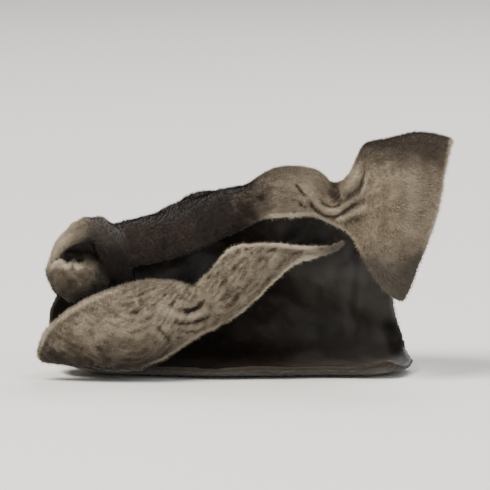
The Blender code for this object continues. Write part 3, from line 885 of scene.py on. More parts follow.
class Finish:
    """A node material in the making: its textures, the layers of its colour, and its relief."""

    def __init__(self, name: str, roughness: float = 0.9, specular: float = 0.5) -> None:
        """Start a material.

        Args:
            name: The material's name.
            roughness: The roughness of the whole surface.
            specular: How strongly it reflects.
        """
        self.made = bpy.data.materials.new(name)
        self.made.use_nodes = True
        self.tree = self.made.node_tree
        self.shader = self.tree.nodes["Principled BSDF"]
        self.put("Roughness", roughness)
        self.put("Specular IOR Level", specular)
        self.textures: dict[str, Socket] = {}

    def put(self, name: str, value: float | tuple | Socket) -> None:
        """Give one of the shader's inputs a value or a link.

        Args:
            name: The input's name.
            value: A value, or the output that feeds it.
        """
        if isinstance(value, Socket):
            self.tree.links.new(value, self.shader.inputs[name])
        else:
            self.shader.inputs[name].default_value = value

    def fact(self, name: str, output: str = "Fac") -> Socket:
        """Read one of the mesh's attributes."""
        return add_node(self.tree, "ShaderNodeAttribute", attribute_name=name).outputs[output]

    def noise(
        self, name: str, scale: float, detail: float, distortion: float = 0.0, at: Socket | None = None
    ) -> None:
        """Add a noise texture.

        Args:
            name: The name that layers know it by.
            scale: Its cells per metre, or per unit of `at`.
            detail: How many finer layers it has.
            distortion: How far it swirls.
            at: The places it is read at, if not the object's own.
        """
        at = at or add_node(self.tree, "ShaderNodeTexCoord").outputs["Object"]
        inputs = {"Vector": at, "Scale": scale, "Detail": detail, "Distortion": distortion}
        self.textures[name] = add_node(self.tree, "ShaderNodeTexNoise", inputs).outputs["Fac"]

    def paint(self, base: str | Socket, layers: tuple) -> Socket:
        """Lay colours over a first one.

        Args:
            base: The first colour, as a socket or a hex colour.
            layers: What lies over it, from below to above.

        Returns:
            The blended colour's socket.
        """
        for layer in layers:
            source = self.textures.get(layer.source) or self.fact(layer.source)
            limits = {"Value": source, "From Min": layer.low, "From Max": layer.high, "To Max": layer.most}
            ramp = add_node(self.tree, "ShaderNodeMapRange", limits, interpolation_type="SMOOTHSTEP")
            first, second = (linear(c) if isinstance(c, str) else c for c in (base, layer.colour))
            # a Mix node holds one set of sockets for each data type: 6 and 7 are its two colours
            mix = {0: ramp.outputs["Result"], 6: first, 7: second}
            base = add_node(self.tree, "ShaderNodeMix", mix, data_type="RGBA").outputs[2]
        return base

    def emboss(self, layers: tuple) -> None:
        """Add relief from textures.

        Args:
            layers: For each texture its name, its strength, and its depth in metres.
        """
        below: dict[str, Socket] = {}
        for name, strength, depth in layers:
            inputs = {"Height": self.textures[name], "Strength": strength, "Distance": depth, **below}
            below = {"Normal": add_node(self.tree, "ShaderNodeBump", inputs).outputs[0]}
        self.put("Normal", below["Normal"])


@dataclass(frozen=True)
class FeltedOutside:
    """The sterile outer side of the dried ear: leathery tissue under a felt of short pale hair.

    Drying leaves it matt and dusty, grey tan with fine uneven mottles and paler along its thin
    margins. Painted highlights lighten its crests and ridges, and painted shade darkens every crease
    and hollow and turns it dark purplish brown where it lies in shade and where the hair has worn off.
    """

    tan: str = "#6E6353"
    pale: str = "#877B69"
    # pale mottles and margins, and painted highlight on crests and ridges
    margin: str = "#A79D8C"
    # dark mottles, and painted shade in grooves and hollows
    dark_mottle_and_shade: str = "#352D25"
    shade: str = "#241D17"
    # painted shade in the strokes' creases
    crease_shade: str = "#1A1410"
    # dark bare skin for painted shade and for real wear
    shade_and_wear: str = "#17110F"
    shade_and_wear_pale: str = "#241B18"
    shade_and_wear_dark: str = "#1B1512"
    # ashen grey, and painted shade at the flare's lowest corner and margin
    ash_and_shade: str = "#383531"
    # painted shade on the lower lip and the wall's left end
    lip: str = "#2A221B"
    under_lip: str = "#1E1711"

    def material(self) -> Material:
        """Build the finish.

        Returns:
            The material.
        """
        skin = Finish("felted_outside_skin", roughness=0.92, specular=0.22)
        # mottling: soft patches of 3 mm, dapples of 0.9 mm and specks of 0.3 mm
        skin.noise("patch", 330.0, 3.0)
        skin.noise("dapple", 1100.0, 4.0, 0.8)
        skin.noise("speck", 3300.0, 3.0)
        # hair lying along the lobe: strands 1.2 mm long and 0.14 mm wide, drawn coarser than hair to show
        stretch = {"Vector": skin.fact("fibre", "Vector"), "Scale": (0.8, 7.0, 7.0)}
        skin.noise("strand", 1.0, 3.0, 0.6, add_node(skin.tree, "ShaderNodeMapping", stretch).outputs[0])
        # the dark bare skin of painted shade and wear, mottled
        shade_and_wear = (Layer("patch", 0.42, 0.62, self.shade_and_wear_pale), Layer("dapple", 0.58, 0.40, self.shade_and_wear_dark, 0.4))
        colour = (
            Layer("patch", 0.36, 0.64, self.pale),
            Layer("dapple", 0.56, 0.36, self.dark_mottle_and_shade, 0.40),
            Layer("dapple", 0.54, 0.74, self.margin, 0.34),
            Layer("speck", 0.52, 0.36, self.dark_mottle_and_shade, 0.36),
            Layer("strand", 0.50, 0.34, self.dark_mottle_and_shade, 0.26),
            Layer("mottle", 0.50, 0.20, self.dark_mottle_and_shade, 0.40),
            Layer("mottle", 0.55, 0.90, self.margin, 0.40),
            # painted highlight on the wrinkles' crests
            Layer("relief", 0.56, 0.92, self.margin, 0.34),
            Layer("rim", 0.15, 0.90, self.margin, 0.70),
            # painted shade, and an overall dulling
            Layer("shade_and_dulling", 0.00, 1.00, self.shade),
            # painted shade as dark bare skin, and real wear
            Layer("shade_and_wear", 0.05, 0.95, skin.paint(self.shade_and_wear, shade_and_wear), 0.97),
            # ashen grey, and painted shade at the flare's lowest corner and margin
            Layer("ash_and_shade", 0.00, 1.00, self.ash_and_shade, 0.85),
            # painted highlight on the strokes' ridges
            Layer("drawn", 0.52, 0.84, self.margin, 0.55),
            # painted shade in the wrinkles' grooves and the folds' hollows
            Layer("relief", 0.46, 0.14, self.dark_mottle_and_shade, 0.62),
            Layer("hollow", 0.42, 0.08, self.dark_mottle_and_shade, 0.60),
            # painted shade in the strokes' creases
            Layer("drawn", 0.46, 0.24, self.crease_shade, 0.86),
            # painted shade on the lower lip and the wall's left end
            Layer("lip", 0.10, 0.90, self.lip, 0.92),
            Layer("inner", 0.35, 0.80, self.under_lip),
        )
        skin.put("Base Color", skin.paint(self.tan, colour))
        skin.put("Sheen Weight", 0.22)
        skin.put("Sheen Roughness", 0.4)
        skin.emboss((("strand", 0.45, 0.0001), ("dapple", 0.55, 0.00025), ("speck", 0.5, 0.00008)))
        return skin.made


@dataclass(frozen=True)
class FeltHair:
    """The short dry hair of the outer side: grey tan, a little lighter than the skin, and matt."""

    tan: str = "#74695A"
    pale: str = "#9A8E7C"
    # pale mottles and margins, and painted highlight on ridges
    crest: str = "#B5AB98"
    # dark mottles, and painted shade in grooves and hollows
    dark_mottle_and_shade: str = "#3A3129"
    shade: str = "#2E261F"
    # painted shade in the strokes' creases
    crease_shade: str = "#241D17"
    # dark bare skin for painted shade and for real wear
    shade_and_wear: str = "#18120F"
    # ashen grey, and painted shade at the flare's lowest corner and margin
    ash_and_shade: str = "#3A3732"
    # painted shade on the lower lip and the wall's left end
    lip: str = "#2A221B"

    def material(self) -> Material:
        """Build the finish.

        Returns:
            The material.
        """
        hair = Finish("felt_hair", roughness=0.9, specular=0.2)
        colour = (
            Layer("shade", 0.00, 1.00, self.pale),
            Layer("mottle", 0.50, 0.20, self.dark_mottle_and_shade, 0.38),
            Layer("mottle", 0.52, 0.85, self.crest, 0.60),
            Layer("rim", 0.15, 0.90, self.crest, 0.60),
            # painted shade, and an overall dulling
            Layer("shade_and_dulling", 0.00, 1.00, self.shade),
            # painted shade as dark bare skin, and real wear
            Layer("shade_and_wear", 0.00, 0.80, self.shade_and_wear),
            # ashen grey, and painted shade at the flare's lowest corner and margin
            Layer("ash_and_shade", 0.00, 1.00, self.ash_and_shade, 0.85),
            # painted highlight on the strokes' ridges
            Layer("drawn", 0.52, 0.84, self.crest, 0.55),
            # painted shade in the wrinkles' grooves and the folds' hollows
            Layer("relief", 0.46, 0.16, self.dark_mottle_and_shade, 0.6),
            Layer("hollow", 0.44, 0.10, self.dark_mottle_and_shade, 0.6),
            # painted shade in the strokes' creases
            Layer("drawn", 0.46, 0.24, self.crease_shade, 0.85),
            # painted shade on the lower lip and the wall's left end
            Layer("lip", 0.10, 0.90, self.lip, 0.90),
        )
        hair.put("Base Color", hair.paint(self.tan, colour))
        return hair.made


@dataclass(frozen=True)
class WaxyInside:
    """The smooth spore-bearing side, dried to a dark horny skin with a faint grey bloom.

    It is deep brown, and smooth enough for a dull sheen where it faces the light; towards the
    mouth's right a painted sheen greys it over a faint bloom.
    """

    dark: str = "#15100D"
    warm: str = "#231A14"
    # a faint grey bloom, and painted sheen at the mouth's right
    bloom_and_sheen: str = "#4C4843"
    rim: str = "#5C5145"
    turn: str = "#2A221C"
    # painted shade on the lower lip and the wall's left end
    lip: str = "#17120E"

    def material(self) -> Material:
        """Build the finish.

        Returns:
            The material.
        """
        wax = Finish("waxy_inside_skin", specular=0.34)
        # clouds of 4 mm in the bloom, and a fine horny grain of 0.5 mm
        wax.noise("cloud", 250.0, 3.0)
        wax.noise("grain_speck", 2000.0, 3.0)
        colour = (
            Layer("cloud", 0.35, 0.65, self.warm),
            Layer("grain_speck", 0.50, 0.75, self.bloom_and_sheen, 0.25),
            # painted sheen at the mouth's right, over a faint grey bloom
            Layer("bloom_and_sheen", 0.00, 1.00, self.bloom_and_sheen, 0.9),
            Layer("rim", 0.30, 1.00, self.rim, 0.7),
            Layer("inner", 0.65, 0.40, self.turn),
            # painted shade on the lower lip and the wall's left end
            Layer("lip", 0.10, 0.90, self.lip, 0.9),
        )
        wax.put("Base Color", wax.paint(self.dark, colour))
        speck = wax.textures["grain_speck"]
        limits = {"Value": speck, "From Min": 0.3, "From Max": 0.7, "To Min": 0.44, "To Max": 0.62}
        wax.put("Roughness", add_node(wax.tree, "ShaderNodeMapRange", limits).outputs["Result"])
        wax.emboss((("grain_speck", 0.3, 0.00008),))
        return wax.made


@dataclass(frozen=True)
class PalePaper:
    """The matt pale paper that the ear lies on, smooth and of one colour."""

    white: str = "#E6E5E2"

    def material(self) -> Material:
        """Build the finish.

        Returns:
            The material.
        """
        paper = Finish("pale_paper")
        paper.put("Base Color", linear(self.white))
        return paper.made


# ---------------------------------------------------------------- the whole skin


@dataclass
class Traced:
    """What every point of the joined skin knows about its place on the lobes."""

    lobe: Array
    place: Array
    outward: Array
    edge: Array
    grain: Array

    def on(self, lobe: Lobe) -> Array:
        """Give 1 for the points of a lobe and 0 for the rest."""
        return (self.lobe == lobe.value).astype(float)

    def on_cut(self) -> Array:
        """Give 1 where the stub's cut is and 0 elsewhere."""
        return self.on(Lobe.STUB) * smooth_step(0.4, 0.8, self.outward[:, 1])


def fan(points: Array, centre: tuple, width: float, long: float, seed: int, crested: bool) -> Array:
    """Noise whose streaks run from a centre in the XZ plane, of one width at every distance.

    Args:
        points: Places in millimetres.
        centre: x and z that the streaks run from.
        width: How wide a streak is.
        long: How long it is.
        seed: Chooses the pattern.
        crested: Whether its crests are sharp.

    Returns:
        One number for each place, from about -1 to 1.
    """
    x, y, z = points.T
    away = np.hypot(x - centre[0], z - centre[1]) + 0.3  # the streaks stay clear of the centre itself
    turn = np.arctan2(z - centre[1], x - centre[0])
    level = np.log2(away)
    step = np.floor(level)
    share = smooth_step(0.0, 1.0, level - step)
    total = np.zeros(len(points))
    # rings twice as wide carry twice as many streaks, and each fades into the next
    for extra, weight in ((0, 1 - share), (1, share)):
        radius = 2.0 ** (step + extra) / width
        cells = np.column_stack([radius * np.cos(turn), radius * np.sin(turn), (away + 0.8 * y) / long])
        cells[:, 2] += 17.3 * (step + extra)  # each ring reads another part of the noise
        noise = ridges(cells, seed) if crested else gradient_noise(cells, seed)
        total += weight * noise
    return total


def along_grain(place: Array, width: float, long: float, seed: int, crested: bool) -> Array:
    """Noise whose streaks run along a lobe.

    Args:
        place: Places on the lobe, in millimetres along and round it.
        width: How wide a streak is.
        long: How long it is.
        seed: Chooses the pattern.
        crested: Whether its crests are sharp.

    Returns:
        One number for each place, from about -1 to 1.
    """
    cells = place / np.array([long, width, width])
    return ridges(cells, seed) if crested else gradient_noise(cells, seed)


def stirred(points: Array, size: float, reach: float, seed: int) -> Array:
    """Move places by smooth noise, so that a pattern read there bends and swirls.

    Args:
        points: Places in millimetres.
        size: The size of the swirls.
        reach: How far a place moves at most.
        seed: Chooses the pattern.

    Returns:
        The moved places.
    """
    # each axis reads another part of the noise
    moves = [gradient_noise(points / size + 5.3 * axis, seed + axis) for axis in range(3)]
    return points + reach * np.column_stack(moves)


# For each tone its patches: a share, the lobe it is on, and limits. A limit holds a measure of the
# skin's points, its value where the patch fades in, its value where the patch is full, and, where
# the limit wanders, how far. Tones works out the measures: blotch is noise from about -1 to 1, and
# the others are in millimetres.
PATCHES = {
    # painted shade, as dark bare brown skin, on the band's front and top, the hook's outer limb and
    # lower part, the bud's right side and bottom and the pod's underside; real wear only in thin places
    # on the back
    "shade_and_wear": (
        # painted shade: the band lies under the lobes above it
        (1.0, Lobe.WALL, ("level", 4.4, -4.0), ("y", 11.0, 6.0), ("z", 3.0, 6.5)),  # band's front
        (1.0, Lobe.WALL, ("level", 2.6, -3.6), ("z", 7.4, 11.2, 0.8), ("y", 16.0, 10.4)),  # its top
        (0.35, Lobe.WALL, ("blotch", 0.1, 0.6), ("y", 8.0, 12.0)),  # thin places on the back
        # painted shade on the hook, the bud and the pod's underside
        (0.70, Lobe.CURL, ("x", -12.4, -10.8, 0.3)),  # the hook's outer limb
        (0.30, Lobe.CURL, ("x", -12.4, -10.8, 0.3), ("z", 10.8, 9.2)),
        (0.4, Lobe.CURL, ("z", 10.6, 8.6), ("x", -12.8, -11.5)),
        (0.6, Lobe.BUD, ("x", -11.8, -10.6)),
        (0.55, Lobe.BUD, ("z", 7.6, 6.2)),
        (0.65, Lobe.TONGUE, ("z", 2.4, 0.6, 0.4)),  # the pod's underside
    ),
    # where the felt is ashen grey, with painted shade greying the flare's lowest corner and its margin
    "ash_and_shade": (
        # painted shade at the flare's lowest corner
        (1.0, Lobe.WALL, ("corner", 6.4, 0.4)),  # the flare's lowest corner
        (0.55, Lobe.CURL, ("x", -12.6, -11.2, 0.3), ("z", 9.4, 10.6)),  # the hook's top
        # painted shade along the flare's lower left margin
        (0.6, Lobe.WALL, ("edge", 1.6, 0.2), ("z", 10.5, 8.5), ("x", 8.0, 10.0)),  # flare's margin
        (0.78, Lobe.TONGUE, ("x", 4.6, 8.0)),  # the strip's tip
    ),
    # how far the felt is darkened: painted shade on the pod's lower half, the bud's lower part, the
    # flare's top and the band, and an overall dulling of the tongue, the curl, the bud and the stub
    "shade_and_dulling": (
        (0.38, Lobe.TONGUE),
        (0.05, Lobe.TONGUE, ("x", *STRIP_FROM)),
        (0.08, Lobe.TONGUE, ("x", -10.5, -13.5)),
        # painted shade on the pod's lower half
        (0.34, Lobe.TONGUE, ("z", 4.2, 1.0)),
        (0.50, Lobe.CURL),
        (0.56, Lobe.BUD),
        # painted shade on the bud's lower part
        (0.2, Lobe.BUD, ("z", 8.6, 7.0)),
        (0.45, Lobe.STUB),
        # painted shade at the flare's top
        (0.74, Lobe.WALL, ("high", 14.6, 18.2), ("x", 8.2, 9.4), ("y", 10.0, 6.0)),  # flare's top
        # painted shade on the band, fading where it brightens
        (0.42, Lobe.WALL, ("x", 7.5, 3.5, 0.8), ("x", -2.0, 1.0)),  # where the band brightens
    ),
    # painted shade on the wall's lower lip under the pod and on its left end
    "lip": (
        (1.0, Lobe.WALL, ("z", 4.5, 2.0), ("edge", 1.8, 0.6)),
        (1.0, Lobe.WALL, ("x", -12.0, -13.4)),
    ),
    # where a margin is pale, and a painted highlight on the hook's top
    "rim": (
        (1.0, Lobe.WALL, ("edge", 0.42, 0.12), ("z", 5.0, 8.0), ("x", 0.0, 4.0), ("z", 9.5, 12.0)),
        (1.0, Lobe.WALL, ("edge", 0.42, 0.12), ("z", 5.0, 8.0), ("x", 0.0, 4.0), ("x", 9.5, 8.0)),
        (1.0, Lobe.TONGUE, ("edge", 0.40, 0.12)),
        (-0.85, Lobe.TONGUE, ("edge", 0.40, 0.12), ("x", 5.0, 7.4)),
        (0.55, Lobe.CURL, ("x", -12.0, -13.2)),
        # painted highlight on the hook's top
        (0.4, Lobe.CURL, ("z", 11.3, 12.1)),
        (0.5, Lobe.BUD, ("z", 8.2, 8.7, 0.15), ("z", 9.15, 8.9)),  # the torn edge
    ),
}


class Tones:
    """What steers the finishes and the hair, from 0 to 1, worked out for all of the skin's points."""

    def __init__(self, points: Array, traced: Traced, inner: Array, lift: Array) -> None:
        """Work out the measures that the tones are made from.

        Args:
            points: The joined skin's points, in millimetres in the maker's frame.
            traced: What they know.
            inner: How far each of them is on the smooth side.
            lift: How far creases and ridges lift each of them.
        """
        self.points, self.traced, self.inner, self.lift = points, traced, inner, lift
        x, y, z = points.T
        blotch = gradient_noise(stirred(points, 2.0, 0.8, SEED + 80) / 2.6, SEED + 31)
        self.small = gradient_noise(points / 0.9, SEED + 32)
        self.measures = {"x": x, "y": y, "z": z, "edge": traced.edge, "blotch": blotch}
        # how far to the right, how high, and how far from the flare's lowest corner, all wandering
        broad = 1.8 * gradient_noise(points / 4.6, SEED + 94)
        self.measures["level"] = x + 1.5 * blotch + 0.9 * self.small + broad
        self.measures["high"] = z + 0.7 * blotch + 0.5 * self.small
        self.measures["corner"] = np.hypot(x - 12.6, z - 6.4) + 0.8 * blotch + 0.4 * self.small

    def within(self, measure: str, low: float, full: float, wander: float = 0.0) -> Array:
        """Fade in from one value of a measure to another.

        Args:
            measure: The measure's name.
            low: Its value where the result is 0.
            full: Its value where the result is 1.
            wander: How far the limit wanders.

        Returns:
            One value from 0 to 1 for each point.
        """
        return smooth_step(low, full, self.measures[measure] + wander * self.small)

    def patch(self, share: float, lobe: Lobe, *limits: tuple) -> Array:
        """Find where a patch of a tone shows.

        Args:
            share: The patch's largest value.
            lobe: The lobe that it is on.
            *limits: What it fades in by, as in PATCHES.

        Returns:
            One value for each point.
        """
        return share * self.traced.on(lobe) * math.prod(self.within(*limit) for limit in limits)

    def mottle(self) -> Array:
        """Dapple the felt, in streaks on the tongue and softly on the flare.

        Returns:
            How pale each point is, with 0.5 in the middle.
        """
        on = self.traced.on
        swirl = stirred(self.points, 1.4, 0.5, SEED + 90)
        dapple = gradient_noise(swirl / 0.52, SEED + 91)
        mottle = 0.22 * dapple + 0.20 * gradient_noise(swirl / 1.1, SEED + 92)
        mottle *= 1 - 0.5 * on(Lobe.WALL) * self.within("x", 8.0, 10.0)
        streak = along_grain(stirred(self.traced.place, 1.2, 0.4, SEED + 95), 0.40, 1.3, SEED + 93, False)
        # pale crests on the tongue's carved wrinkles as painted highlights, and dark pits between them as
        # painted shade, fewer on its strip
        ridge = np.clip(along_grain(self.traced.place, 0.5, 1.6, SEED + 14, True), -0.4, 1.0)
        ridge = np.where(ridge < 0, ridge * (1 - 0.7 * self.within("x", *STRIP_FROM)), ridge)
        fleck = gradient_noise(swirl / 0.46, SEED + 91)
        mottle += on(Lobe.TONGUE) * (0.14 * streak + 0.32 * ridge + 0.10 * fleck)
        return mottle + 0.5 + 0.15 * (on(Lobe.CURL) + on(Lobe.BUD)) * dapple

    def all(self) -> dict[str, Array]:
        """Work out every tone, and where each piece of the hair stands.

        Returns:
            One value from 0 to 1 for each point, by the tone's or the piece's name.
        """
        tones = {name: sum(self.patch(*patch) for patch in patches) for name, patches in PATCHES.items()}
        cloud = gradient_noise(stirred(self.points, 2.4, 1.0, SEED + 97) / 1.7, SEED + 98)
        tones["shade_and_dulling"] += 0.16 * self.traced.on(Lobe.TONGUE) * cloud
        tones["shade_and_dulling"] += 0.4 * self.traced.on_cut() * (0.7 + 0.5 * self.small)
        lip = np.clip(tones["lip"], 0, 1)
        tones["shade_and_dulling"] *= 1 - 0.8 * np.clip(tones["rim"], 0, 1)
        # painted sheen at the mouth's right, over a faint grey bloom
        bloom_and_sheen = self.within("x", 1.0, 7.0) * self.within("z", 11.0, 5.0)
        tones["bloom_and_sheen"] = bloom_and_sheen * (0.55 + 0.45 * self.within("blotch", -0.4, 0.5)) * (1 - lip)
        tones["mottle"] = self.mottle()
        # hair stands on the outer side, off the floor, and thinly where painted shade or wear darkens the
        # felt, on the lower lip's painted shade, and in creases
        felt = (1 - smooth_step(0.2, 0.6, self.inner)) * (1 - 0.5 * np.clip(tones["shade_and_wear"], 0, 1))
        felt *= (1 - 0.85 * lip) * (1 - self.traced.on(Lobe.STUB)) * smooth_step(-0.14, -0.04, self.lift)
        felt *= self.within("z", 0.4, 1.2)
        wall = self.traced.on(Lobe.WALL)
        front = wall * self.within("y", 10.5, 7.5)
        tones["felt_front"] = felt * front
        tones["felt_back"] = felt * wall * (1 - front) * self.within("x", 0.0, 0.1)
        tones["felt_left"] = felt * wall * (1 - front) * self.within("x", 0.1, 0.0)
        tones["felt_lobes"] = felt * (1 - wall)
        return {name: np.clip(value, 0, 1) for name, value in tones.items()}


@dataclass
class EarSkin:
    """The one continuous skin of the ear, joined from its lobes and carved with its wrinkles."""

    wall: Wall
    tongue: Tongue
    curl: Curl
    bud: Bud
    stub: Stub
    roll: Roll
    voxel: float = 0.193  # millimetres, the size of the joined skin's faces
    rest_cut: float = 0.22  # how much of the belly's underside is pressed flat
    fine_inside: float = 0.15  # how much of the fine wrinkles shows on the smooth side
    relief_span: float = 0.09  # millimetres from the deepest wrinkle to the highest, for the finishes
    hollow_span: float = 0.5  # the same for folds, and for the drawn creases
    middle: tuple = (0.688, 9.352)  # x and y of the row's origin in the maker's frame
    knot: tuple = (7.9, 12.6)  # x and z of the pinch that the front's folds run from
    neck: tuple = (-2.6, 6.0)  # x and z of the tongue's neck

    def lobes(self) -> list[LobeSkin]:
        """Make the skin of every lobe."""
        parts = (self.wall, self.tongue, self.curl, self.bud, self.stub, self.roll)
        return [part.skin() for part in parts]

    def join(self, skins: list[LobeSkin]) -> tuple[Array, Array]:
        """Melt the lobes into one closed skin of small even faces.

        Args:
            skins: The closed skin of each lobe.

        Returns:
            Its points in millimetres, and its four-sided faces.
        """
        start = 0
        faces: list = []
        for skin in skins:
            faces += [tuple(number + start for number in face) for face in skin.faces]
            start += len(skin.points)
        mesh = bpy.data.meshes.new("lobes")
        mesh.from_pydata(np.concatenate([skin.points for skin in skins]).tolist(), [], faces)
        work = add_object("lobes", mesh)
        remesh = work.modifiers.new("melt", "REMESH")
        remesh.mode = "VOXEL"
        remesh.voxel_size = self.voxel
        graph = bpy.context.evaluated_depsgraph_get()
        melted = bpy.data.meshes.new_from_object(work.evaluated_get(graph))
        bpy.data.objects.remove(work)
        points = np.zeros(len(melted.vertices) * 3)
        melted.vertices.foreach_get("co", points)
        corners = np.zeros(len(melted.loops), np.int64)
        melted.loops.foreach_get("vertex_index", corners)
        bpy.data.meshes.remove(melted)
        return points.reshape(-1, 3), corners.reshape(-1, 4)

    def trace(self, skins: list[LobeSkin], points: Array) -> Traced:
        """Carry what the lobes' points know over to the joined skin.

        Args:
            skins: The closed skin of each lobe.
            points: The joined skin's points.

        Returns:
            The lobe, place, directions and edge distance of every point.
        """
        source = np.concatenate([skin.points for skin in skins])
        lobe = np.concatenate([np.full(len(skin.points), skin.lobe.value) for skin in skins])
        facts = [np.column_stack([skin.place, skin.outward, skin.edge, skin.grain]) for skin in skins]
        facts = np.concatenate(facts)
        tree = KDTree(len(source))
        for number, point in enumerate(source):
            tree.insert(point, number)
        tree.balance()
        found = [tree.find_n(point, 3) for point in points]
        number = np.array([[hit[1] for hit in hits] for hits in found])
        far = np.array([[hit[2] for hit in hits] for hits in found])
        # near points of the nearest point's lobe count, the nearer the more
        weight = (lobe[number] == lobe[number[:, :1]]) / (far + 0.02)
        weight /= weight.sum(axis=1, keepdims=True)
        facts = np.einsum("nk,nkf->nf", weight, facts[number])
        return Traced(lobe[number[:, 0]], facts[:, :3], unit(facts[:, 3:6]), facts[:, 6], unit(facts[:, 7:]))

    @staticmethod
    def relax(points: Array, faces: Array, rounds: int, share: float) -> Array:
        """Move every point towards its neighbours' middle.

        Args:
            points: The points.
            faces: The four-sided faces that join them.
            rounds: How often they move.
            share: How far they go each time, from 0 to 1.

        Returns:
            The moved points.
        """
        a = faces.ravel()
        b = np.roll(faces, -1, axis=1).ravel()
        count = np.bincount(a, minlength=len(points)) + np.bincount(b, minlength=len(points))
        for _ in range(rounds):
            total = np.zeros_like(points)
            for axis in range(points.shape[1]):
                total[:, axis] = np.bincount(a, points[b, axis], len(points))
                total[:, axis] += np.bincount(b, points[a, axis], len(points))
            points = points + share * (total / count[:, None] - points)
        return points

    @staticmethod
    def normals(points: Array, faces: Array) -> Array:
        """Find the unit normal at every point of a mesh of four-sided faces.

        Args:
            points: The points.
            faces: The faces.

        Returns:
            The normals.
        """
        p = points[faces]
        face = np.cross(p[:, 2] - p[:, 0], p[:, 3] - p[:, 1])
        total = np.zeros_like(points)
        for axis in range(3):
            total[:, axis] = np.bincount(faces.ravel(), np.repeat(face[:, axis], 4), len(points))
        return unit(total)

    @staticmethod
    def strokes(points: Array, traced: Traced) -> Array:
        """Add up the lobes' creases and ridges on what looks to the front.

        Args:
            points: The joined skin's points.
            traced: What they know.

        Returns:
            How far they lift each point.
        """
        lift = np.zeros(len(points))
        away = traced.outward[:, 1]
        for lobe, strokes in STROKES.items():
            shown = np.flatnonzero((traced.lobe == lobe.value) & (away < FRONT_LIMIT))
            facing = smooth_step(FRONT_LIMIT, -FRONT_LIMIT, away[shown])
            for stroke in strokes:
                lift[shown] += stroke.lift(points[shown, 0], points[shown, 2]) * facing
        return lift

    def wall_folds(self, points: Array, traced: Traced) -> tuple[Array, Array]:
        """Work out how far the wall's folds stand out, coarse ones of the sheet and fine ones of its skin.

        Like all numbers of the folds, those below are millimetres: where a region fades in and out,
        how large a pattern is, and how far it lifts the skin.

        Args:
            points: The joined skin's points.
            traced: What they know.

        Returns:
            The coarse heights and the fine ones.
        """
        x, y, z = points.T
        front = 1 - smooth_step(8.5, 12.0, y)
        off_floor = smooth_step(0.8, 3.5, z)
        away = np.hypot(x - self.knot[0], z - self.knot[1])
        pinch = np.exp(-((away / 3.4) ** 2))
        flare = smooth_step(8.5, 10.0, x)
        swirl = stirred(points, 2.6, 0.8, SEED + 40)
        crumple = gradient_noise(swirl / 2.4, SEED + 3) * 0.13
        crumple += gradient_noise(swirl / 1.2, SEED + 33) * 0.07
        # the front's folds run from the pinch, and those behind from the stub
        shown = fan(points, self.knot, 1.5, 5.0, SEED + 1, False) * (0.05 + 0.16 * pinch)
        shown += crumple * (1 - 0.72 * flare)
        behind = fan(swirl, STUB_AXIS, 1.7, 6.0, SEED + 4, False) * 0.20 + crumple
        fine = fan(swirl, self.knot, 0.6, 2.4, SEED + 5, True) * (0.012 + 0.03 * pinch)
        leather = ridges(stirred(points, 0.9, 0.35, SEED + 50) / 0.62, SEED + 6)
        fine += leather * 0.030 * (1 - 0.6 * flare)
        fine_behind = fan(swirl, STUB_AXIS, 0.8, 3.2, SEED + 7, True) * 0.03 + leather * 0.030
        coarse = (front * shown + (1 - front) * behind) * off_floor
        fine = front * fine + (1 - front) * fine_behind
        on_wall = traced.on(Lobe.WALL)
        return coarse * on_wall, fine * on_wall

    def lobe_folds(self, points: Array, traced: Traced) -> tuple[Array, Array]:
        """Work out how far the folds of the other lobes stand out, coarse and fine.

        Args:
            points: The joined skin's points.
            traced: What they know.

        Returns:
            The coarse heights and the fine ones.
        """
        x, _, z = points.T
        place = traced.place
        swirl = stirred(points, 1.8, 0.6, SEED + 60)
        crumple = gradient_noise(swirl / 1.5, SEED + 11)
        dimple = gradient_noise(swirl / 0.8, SEED + 61)
        felted = ridges(stirred(points, 0.8, 0.4, SEED + 70) / 0.52, SEED + 71)
        # the tongue is gathered at its neck, and the strip has a raised rim with a groove beside it
        tongue = traced.on(Lobe.TONGUE)
        strip = smooth_step(*STRIP_FROM, x)
        from_neck = np.hypot(x - self.neck[0], z - self.neck[1])
        gathered = np.exp(-((from_neck / 2.0) ** 2))
        coarse = crumple * 0.075 + dimple * 0.045
        coarse += along_grain(place, 1.1, 3.6, SEED + 12, False) * (0.03 + 0.12 * gathered + 0.04 * strip)
        rim = np.exp(-((traced.edge / 0.28) ** 2)) - np.exp(-(((traced.edge - 0.62) / 0.22) ** 2))
        coarse += 0.10 * rim * strip
        coarse *= tongue
        # fine wrinkles run along each lobe, over a leathery crackle
        fine = tongue * felted * (0.024 + 0.014 * strip)
        fine += tongue * along_grain(place, 0.5, 1.6, SEED + 14, True) * (0.036 + 0.03 * gathered)
        curl = traced.on(Lobe.CURL)
        coarse += curl * (crumple * 0.06 + along_grain(place, 1.3, 4.0, SEED + 15, False) * 0.06)
        fine += curl * (felted * 0.02 + along_grain(place, 0.5, 2.0, SEED + 16, True) * 0.02)
        bud = traced.on(Lobe.BUD)
        coarse += bud * (gradient_noise(swirl / 1.0, SEED + 17) * 0.12 + dimple * 0.06)
        fine += bud * felted * 0.035
        stub = traced.on(Lobe.STUB)
        coarse += stub * along_grain(place, 1.0, 4.0, SEED + 19, False) * 0.10
        # the stub's cut is torn
        torn = gradient_noise(points / 0.8, SEED + 21) * 0.16
        torn += gradient_noise(points / 0.4, SEED + 22) * 0.10
        coarse += traced.on_cut() * torn
        fine += stub * along_grain(place, 0.4, 2.5, SEED + 20, True) * 0.05
        return coarse, fine

